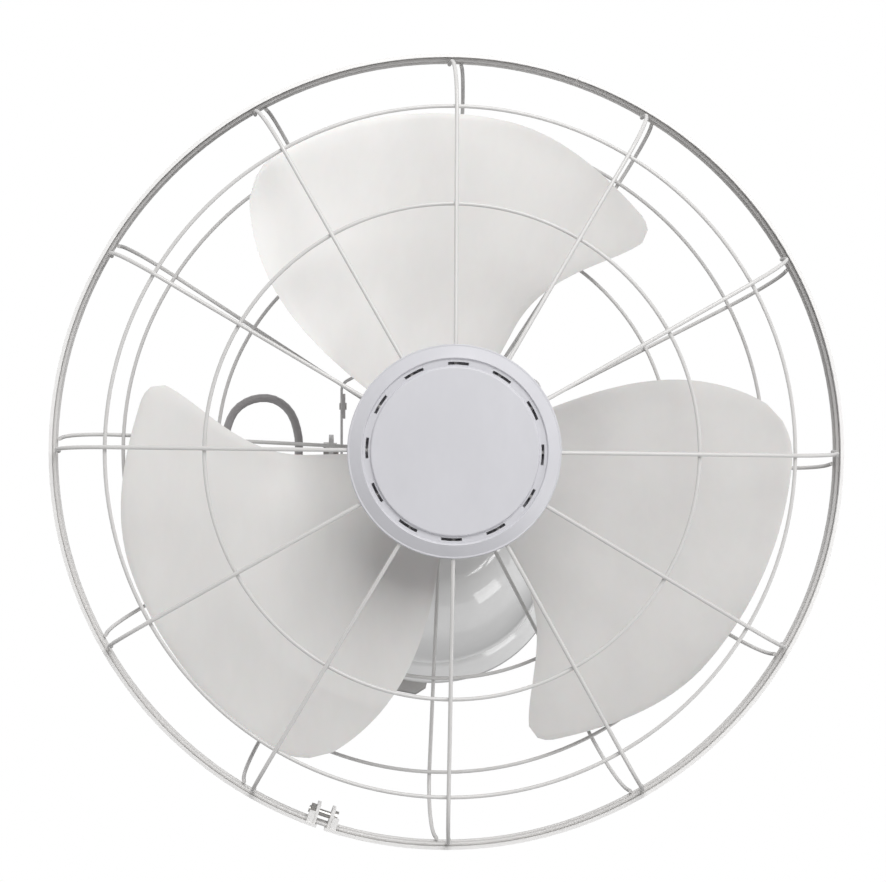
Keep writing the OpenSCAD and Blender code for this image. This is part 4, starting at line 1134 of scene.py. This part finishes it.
@dataclass
class FrontCap:
    """The cap in the front guard's middle: a flat face, a slotted groove and a sloping rim."""

    rim_r: float = 60.3
    rim_z: float = -187.42
    rim_round: float = 1.2
    slope_h: float = 5.5
    slope_from: float = 0.6
    slope_short: float = 0.9
    slope_knots: tuple[float, ...] = (54.5, 57.0)
    face_up: float = 0.7
    face_edge: float = 1.1
    face_round: float = 0.7
    face_knots: Pairs = ((0.001, 0.7), (8.0, 0.68), (18.0, 0.6), (30.0, 0.48), (40.0, 0.2))
    slot_r: float = 49.3
    slot_w: float = 1.6
    slot_share: float = 0.22
    slots: int = 12
    first: float = 2.2
    steps: int = 240
    wall: float = 2.0
    groove_in: float = 47.2
    groove_out: float = 52.0
    groove_deep: float = 1.2
    lip: float = 0.45
    chamfer: float = 0.4
    nudge: float = 0.1
    skin_crease: float = 60.0
    crease: float = 32.0

    def rows(self) -> Outline:
        """Lay out the outer skin from the middle to the rim.

        Returns:
            Its points of radius and height.
        """
        step = self.rim_z - self.slope_h
        face, floor = step - self.face_up, step + self.groove_deep
        near, far, lip, soft = self.groove_in, self.groove_out, self.lip, self.face_round
        nudge, cut = self.nudge, self.chamfer
        foot = nudge + cut
        rows = [(radius, face - dome) for radius, dome in self.face_knots]
        rows += [(near - self.face_edge, face), *arc((near - soft, face + soft), soft, -90, 0, 4)]
        rows += [(near + nudge, floor - cut), (near + foot, floor)]
        rows += [(self.slot_r - self.slot_w / 2, floor), (self.slot_r + self.slot_w / 2, floor)]
        rows += [(far - foot, floor), (far - nudge, floor - cut)]
        rows += [(far, step + cut), *arc((far + lip, step + lip), lip, 180, 270, 3)]
        start, end = far + self.slope_from, self.rim_r - self.rim_round
        run = (self.slope_h - self.slope_short) / (end - start)
        rows += [(r, step + run * (r - start)) for r in (*self.slope_knots, end - nudge)]
        return rows + arc((end, self.rim_z), self.rim_round, -58, 40, 6)

    def build(self) -> Object:
        """Build the cap.

        Returns:
            The cap, riding on the head.
        """
        points, faces = lathe(self.rows(), self.steps, closed=False)
        name, plastic = "front_cap_shell", coat("cap")
        skin = finished(name, points, faces, HEAD, plastic, self.skin_crease)
        self.cut_slots(skin.data)
        shell = skin.modifiers.new("Wall", "SOLIDIFY")
        shell.thickness = self.wall * MM
        shell.offset = -1.0
        piece = settled(skin, name, plastic, self.crease)
        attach(piece, "head")
        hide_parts("front_cap")
        return piece

    def cut_slots(self, mesh: Mesh) -> None:
        """Open the slots in the groove's floor, before the skin gets its wall.

        Args:
            mesh: The outer skin, in its place on the head.
        """
        share = math.tau / self.slots
        first = math.radians(self.first)
        back = HEAD.inverted()
        with editing(mesh) as work:
            slots = []
            for face in work.faces:
                spot = back @ face.calc_center_median() / MM
                off = abs(math.hypot(spot.x, spot.y) - self.slot_r)
                turn = (math.atan2(-spot.x, spot.y) - first) % share
                near = min(turn, share - turn) < share * self.slot_share
                if near and off < self.slot_w / 2:
                    slots.append(face)
            bmesh.ops.delete(work, geom=slots, context="FACES")


# --- Canopy ---


@dataclass
class Canopy:
    """The glossy bell at the ceiling."""

    rim_r: float = 92.0
    rim_h: float = 2.2
    rim_round: float = 1.6
    rim_drop: float = 0.2
    shoulder_r: float = 83.0
    skirt: float = 19.0
    flare: Pairs = ((4.2, 4.4), (2.6, 2.0))
    neck_r: float = 45.0
    depth: float = 85.0
    wall: float = 2.5
    hole_r: float = 20.4
    hole_round: float = 0.6
    top: float = -3.05
    bell_steps: int = 36
    steps: int = 192
    crease: float = 32.0

    def side(self, inwards: float, lift: float) -> Outline:
        """Lay out the bell's side.

        Args:
            inwards: How far it is moved inwards.
            lift: How much higher its lower end is.

        Returns:
            Its points of radius and height.
        """
        rim = self.rim_r - inwards
        line = [(rim, self.top), (rim, self.top - self.rim_h)]
        centre = (rim - self.rim_round, self.top - self.rim_h - self.rim_drop)
        line += arc(centre, self.rim_round, 0, -55, 4)
        line += [(self.shoulder_r + out - inwards, -self.skirt + up) for out, up in self.flare]
        wide = self.shoulder_r - self.neck_r - inwards
        deep = -self.depth + lift + self.skirt
        turns = [math.pi / 2 * i / self.bell_steps for i in range(self.bell_steps + 1)]
        bell = [(self.neck_r + wide * math.cos(a), -self.skirt + deep * math.sin(a)) for a in turns]
        return line + bell

    def build(self) -> Object:
        """Build the canopy.

        Returns:
            The bell, riding on the base.
        """
        soft = self.hole_round
        outline = self.side(0.0, 0.0)
        outline += [(self.hole_r + soft, -self.depth), (self.hole_r, -self.depth + soft)]
        outline += [(self.hole_r, -self.depth + self.wall)]
        outline += reversed(self.side(self.wall, self.wall))
        points, faces = lathe(outline, self.steps)
        piece = finished("canopy_bell", points, faces, CEILING, coat("gloss"), self.crease)
        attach(piece, "base")
        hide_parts("canopy")
        return piece


# --- Lead ---


@dataclass
class MotorLead:
    """The grey lead that loops from the motor's cover to the gear case."""

    diameter: float = 5.4
    bevel_steps: int = 5
    gland_l: float = 9.0
    boot_l: float = 24.0
    boot_wide: float = 5.5
    boot_steps: int = 28
    boot_crease: float = 30.0
    stem_l: float = 6.0
    stem_r: float = 4.0
    stem_inset: float = 1.4
    flange_r: float = 7.0
    flange_edge: float = 0.4
    ribs: int = 6
    rib_share: float = 0.62
    rib_edge: float = 0.02
    rib_end: float = 0.98
    rib_deep: float = 0.45
    tip_wall: float = 0.55
    tip_lip: float = 0.1
    collar: float = 2.4
    seat: float = 0.05
    cover_turn: float = -76.0
    cover_r: float = 57.7
    cover_z: float = -28.0
    case_turn: float = -66.0
    case_r: float = 41.5
    case_z: float = 41.0

    @staticmethod
    def polar(turn: float, radius: float, z: float) -> Vector:
        """Return a point at an angle, a radius and a height."""
        a = math.radians(turn)
        return Vector((radius * math.cos(a), radius * math.sin(a), z))

    def route(self) -> list[Vector]:
        """Lay out the lead, gland to gland.

        Returns:
            Its points.
        """
        gland = self.collar + self.gland_l + self.seat
        start, end = self.cover_r + gland, self.case_r + gland
        # Laid out one by one: the photo shows the loop's top, and the rest joins it to the glands.
        free = (
            (29, -84, -27), (45, -86, -25), (62, -80, -20), (78, -66, -14), (88, -47, -8),
            (92, -27, -2), (93, -8, 2), (93, 9, 4), (98, 25, 4), (109, 34, 5),
            (123, 34, 5), (135, 26, 6), (141, 10, 7), (142, -8, 9), (138, -27, 13),
            (126, -46, 18), (107, -62, 25), (84, -72, 32), (60, -76, 37), (42, -75, 40),
        )
        line = [self.polar(self.cover_turn, start + x, self.cover_z) for x in (0, 4, 7)]
        line += [Vector(p) for p in free]
        line += [self.polar(self.case_turn, end + x, self.case_z) for x in (13, 5, 0)]
        return line

    @staticmethod
    def smooth(line: Sequence[Vector], steps: int = 3) -> list[Vector]:
        """Round off a line.

        Args:
            line: Its points.
            steps: New stretches between two neighbours.

        Returns:
            Points of a smooth curve through them.
        """
        last = len(line) - 1
        out = []
        for i in range(last):
            a, b, c, d = line[max(i - 1, 0)], line[i], line[i + 1], line[min(i + 2, last)]
            square = 2 * a - 5 * b + 4 * c - d
            cube = 3 * b - a - 3 * c + d
            for t in (s / steps for s in range(steps)):
                out.append(0.5 * (2 * b + (c - a) * t + square * t * t + cube * t * t * t))
        return [*out, line[-1]]

    def boot_rings(self) -> Outline:
        """Lay out a boot's rings.

        Returns:
            Each ring's way along the boot from its flange, and its radius.
        """
        stem, wide, thin, edge = self.stem_r, self.flange_r, self.diameter / 2, self.flange_edge
        rings = [(-self.stem_l, thin - self.stem_inset), (-self.stem_l, stem), (0.0, stem)]
        rings += [(0.0, wide - edge), (edge, wide)]
        rings += [(self.collar - edge, wide), (self.collar, wide - edge)]
        taper = thin + self.tip_wall - self.boot_wide
        for i in range(self.ribs):
            rib, gap, end = (x / self.ribs for x in (i, i + self.rib_share, i + self.rib_end))
            for share, cut in ((rib, 0.0), (gap, 0.0), (gap + self.rib_edge, 1.0), (end, 1.0)):
                radius = self.boot_wide + taper * share - cut * self.rib_deep * (1.0 - share)
                rings.append((self.collar + share * self.boot_l, radius))
        return [*rings, (self.collar + self.boot_l, thin + self.tip_lip)]

    def boot(self, where: str, line: Sequence[Vector]) -> None:
        """Build a strain relief: a stem and flange, and a ribbed taper that follows the lead.

        Args:
            where: "cover" or "case", the housing that it sits in.
            line: The lead's points in millimetres, from that housing on.
        """
        out = (line[1] - line[0]).normalized()
        flange = line[0] - out * (self.gland_l + self.collar + self.seat)
        inside = (-self.stem_l, 0.0, self.collar, self.collar + self.gland_l)
        way = [*(flange + out * x for x in inside), *line]
        side = out.cross(Vector((0.0, 0.0, 1.0))).normalized()
        rings = self.boot_rings()
        points = []
        for along, radius in rings:
            spot, ahead = self.walk(way, along + self.stem_l)
            side = (side - ahead * side.dot(ahead)).normalized()
            up = ahead.cross(side)
            for i in range(self.boot_steps):
                a = math.tau * i / self.boot_steps
                points.append(tuple(spot + (side * math.cos(a) + up * math.sin(a)) * radius))
        faces = wrapped(len(rings), self.boot_steps, closed=False)
        faces.append(tuple(range(self.boot_steps)))
        faces.append(tuple(range(len(points) - self.boot_steps, len(points))))
        name = f"{where}_boot"
        piece = finished(name, points, faces, HEAD, coat("rubber"), self.boot_crease)
        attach(piece, "head")
        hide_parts(f"{where}_gland")

    @staticmethod
    def walk(line: Sequence[Vector], distance: float) -> tuple[Vector, Vector]:
        """Go along a line.

        Args:
            line: Its points.
            distance: How far to go.

        Returns:
            The point there and the line's direction.
        """
        for one, two in zip(line, line[1:]):
            length = (two - one).length
            if length > MERGE and distance <= length:
                return one.lerp(two, max(distance, 0.0) / length), (two - one).normalized()
            distance -= length
        return line[-1], (line[-1] - line[-2]).normalized()

    def build(self) -> Object:
        """Build the lead and its two boots.

        Returns:
            The cord, riding on the head.
        """
        points = self.smooth(self.route())
        line = [HEAD @ (p * MM) for p in points]
        piece = polyline("motor_lead_cord", line)
        piece.data.bevel_depth = self.diameter / 2 * MM
        piece.data.bevel_resolution = self.bevel_steps
        piece.data.use_fill_caps = True
        piece.data.splines[0].use_smooth = True
        piece.data.materials.append(coat("sheath"))
        self.boot("cover", points)
        self.boot("case", points[::-1])
        length = sum((b - a).length for a, b in zip(line, line[1:]))
        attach(piece, "head")
        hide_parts("motor_lead")
        LOG.info("lead: %.0f mm", length / MM)
        return piece


# --- Studio ---


@dataclass(frozen=True)
class Lamp:
    """A square area light, with its place and aim in the head's frame in metres."""

    name: str
    place: Point
    aim: Point
    size: float
    power: float

    def build(self) -> None:
        """Add the light."""
        data = bpy.data.lights.new(self.name, "AREA")
        data.size, data.energy = self.size, self.power
        light = bpy.data.objects.new(self.name, data)
        spot, target = HEAD @ Vector(self.place), HEAD @ Vector(self.aim)
        turn = (target - spot).to_track_quat("-Z", "Y").to_matrix().to_4x4()
        light.matrix_world = Matrix.Translation(spot) @ turn
        bpy.context.scene.collection.objects.link(light)


@dataclass
class Studio:
    """Camera, light and floor."""

    focal_px: float = 1973.0
    image_w: int = 886
    sensor: float = 36.0
    distance: float = 1130.0
    ring_z: float = -163.5
    right: float = 5.5
    down: float = 5.96
    forward: Point = (-0.0435, 0.0052, 1.0)
    far: float = 50.0
    floor_z: float = -2.5
    floor_half: float = 6000.0
    floor_colours: tuple[Point, Point] = ((0.76, 0.76, 0.75), (0.80, 0.80, 0.79))
    lit_side: Point = (0.1, 0.60, -0.79)
    light_steps: Pairs = ((0.0, 0.08), (0.17, 0.15), (0.22, 0.6), (1.0, 1.3))
    blue: float = 1.01
    lamps: tuple[Lamp, ...] = (
        Lamp("key", (-0.28, 1.2, -1.5), (0.0, 0.0, -0.12), 1.4, 32.0),
        Lamp("window", (-0.8, -0.5, -0.5), (0.0, -0.09, 0.08), 0.45, 1.5),
    )

    def camera(self) -> None:
        """Put the camera at the photograph's place."""
        ahead = Vector(self.forward).normalized()
        side = ahead.cross(Vector((0.0, 1.0, 0.0))).normalized()
        up = side.cross(ahead)
        place = Vector((0.0, 0.0, self.ring_z)) - ahead * self.distance
        place += up * self.down - side * self.right
        turn = Matrix((side, up, -ahead)).transposed().to_4x4()
        data = bpy.data.cameras.new("camera")
        data.sensor_fit = "HORIZONTAL"
        data.sensor_width = self.sensor
        data.lens = self.focal_px * self.sensor / self.image_w
        data.clip_end = self.far
        camera = bpy.data.objects.new("camera", data)
        camera.matrix_world = HEAD @ Matrix.Translation(place * MM) @ turn
        bpy.context.scene.collection.objects.link(camera)
        bpy.context.scene.camera = camera

    def world(self) -> None:
        """Light the room softly, brightest from the front and top and dark from behind.

        The camera itself sees plain white.
        """
        world = bpy.data.worlds.new("room")
        world.use_nodes = True
        bpy.context.scene.world = world
        room = Tree(world.node_tree)
        lean = room.node("ShaderNodeVectorMath", {"operation": "DOT_PRODUCT"})
        room.link(room.node("ShaderNodeTexCoord").outputs["Generated"], lean.inputs[0])
        room.link(HEAD.to_3x3() @ Vector(self.lit_side), lean.inputs[1])
        stops = [(place, (tone, tone, tone * self.blue)) for place, tone in self.light_steps]
        ramp = room.node("ShaderNodeValToRGB", {"stops": stops})
        room.link(Value(room, lean.outputs["Value"]) * 0.5 + 0.5, ramp.inputs[0])
        shine = room.tree.nodes["Background"]
        room.link(ramp, shine.inputs["Color"])
        seen = room.node("ShaderNodeBackground", Color=(1.0, 1.0, 1.0, 1.0))
        path = room.node("ShaderNodeLightPath")
        mix = room.node("ShaderNodeMixShader")
        sources = (path.outputs["Is Camera Ray"], shine, seen)
        for place, source in zip(mix.inputs, sources):
            room.link(source, place)
        room.link(mix, room.tree.nodes["World Output"].inputs[0])

    def floor(self) -> None:
        """Lay the floor."""
        paint = Paint("pale_floor")
        tone = paint.mix(paint.noise(FLOOR_TONES), *self.floor_colours)
        paint.set(Roughness=0.7, Base_Color=tone)
        half, z = self.floor_half, self.floor_z / MM
        corners = [(-half, -half, z), (half, -half, z), (half, half, z), (-half, half, z)]
        piece = finished("floor", corners, [(0, 1, 2, 3)], CEILING, paint.material)

    def build(self) -> None:
        """Build the whole studio."""
        bpy.context.scene.view_settings.view_transform = "Standard"
        self.camera()
        self.world()
        for lamp in self.lamps:
            lamp.build()
        self.floor()


def main() -> None:
    """Build the fan's looks in order."""
    logging.basicConfig(level=logging.INFO, format="%(name)s: %(message)s")
    Studio().build()
    dress_nodes()
    parts = [
        MotorLead(),
        Guard(Side.FRONT, inner_r=45.0, inner_ring_r=54.0, turn=0.7, sideways=3.7),
        Guard(Side.REAR, inner_r=40.0, inner_ring_r=46.5, turn=2.9, sideways=6.0),
        BladeSet(),
        FrontCap(),
        Canopy(),
    ]
    for part in parts:
        piece = part.build()
        LOG.info("%s: %s", type(part).__name__, piece.name)
    bpy.context.view_layer.update()


if __name__ == "__main__":
    main()
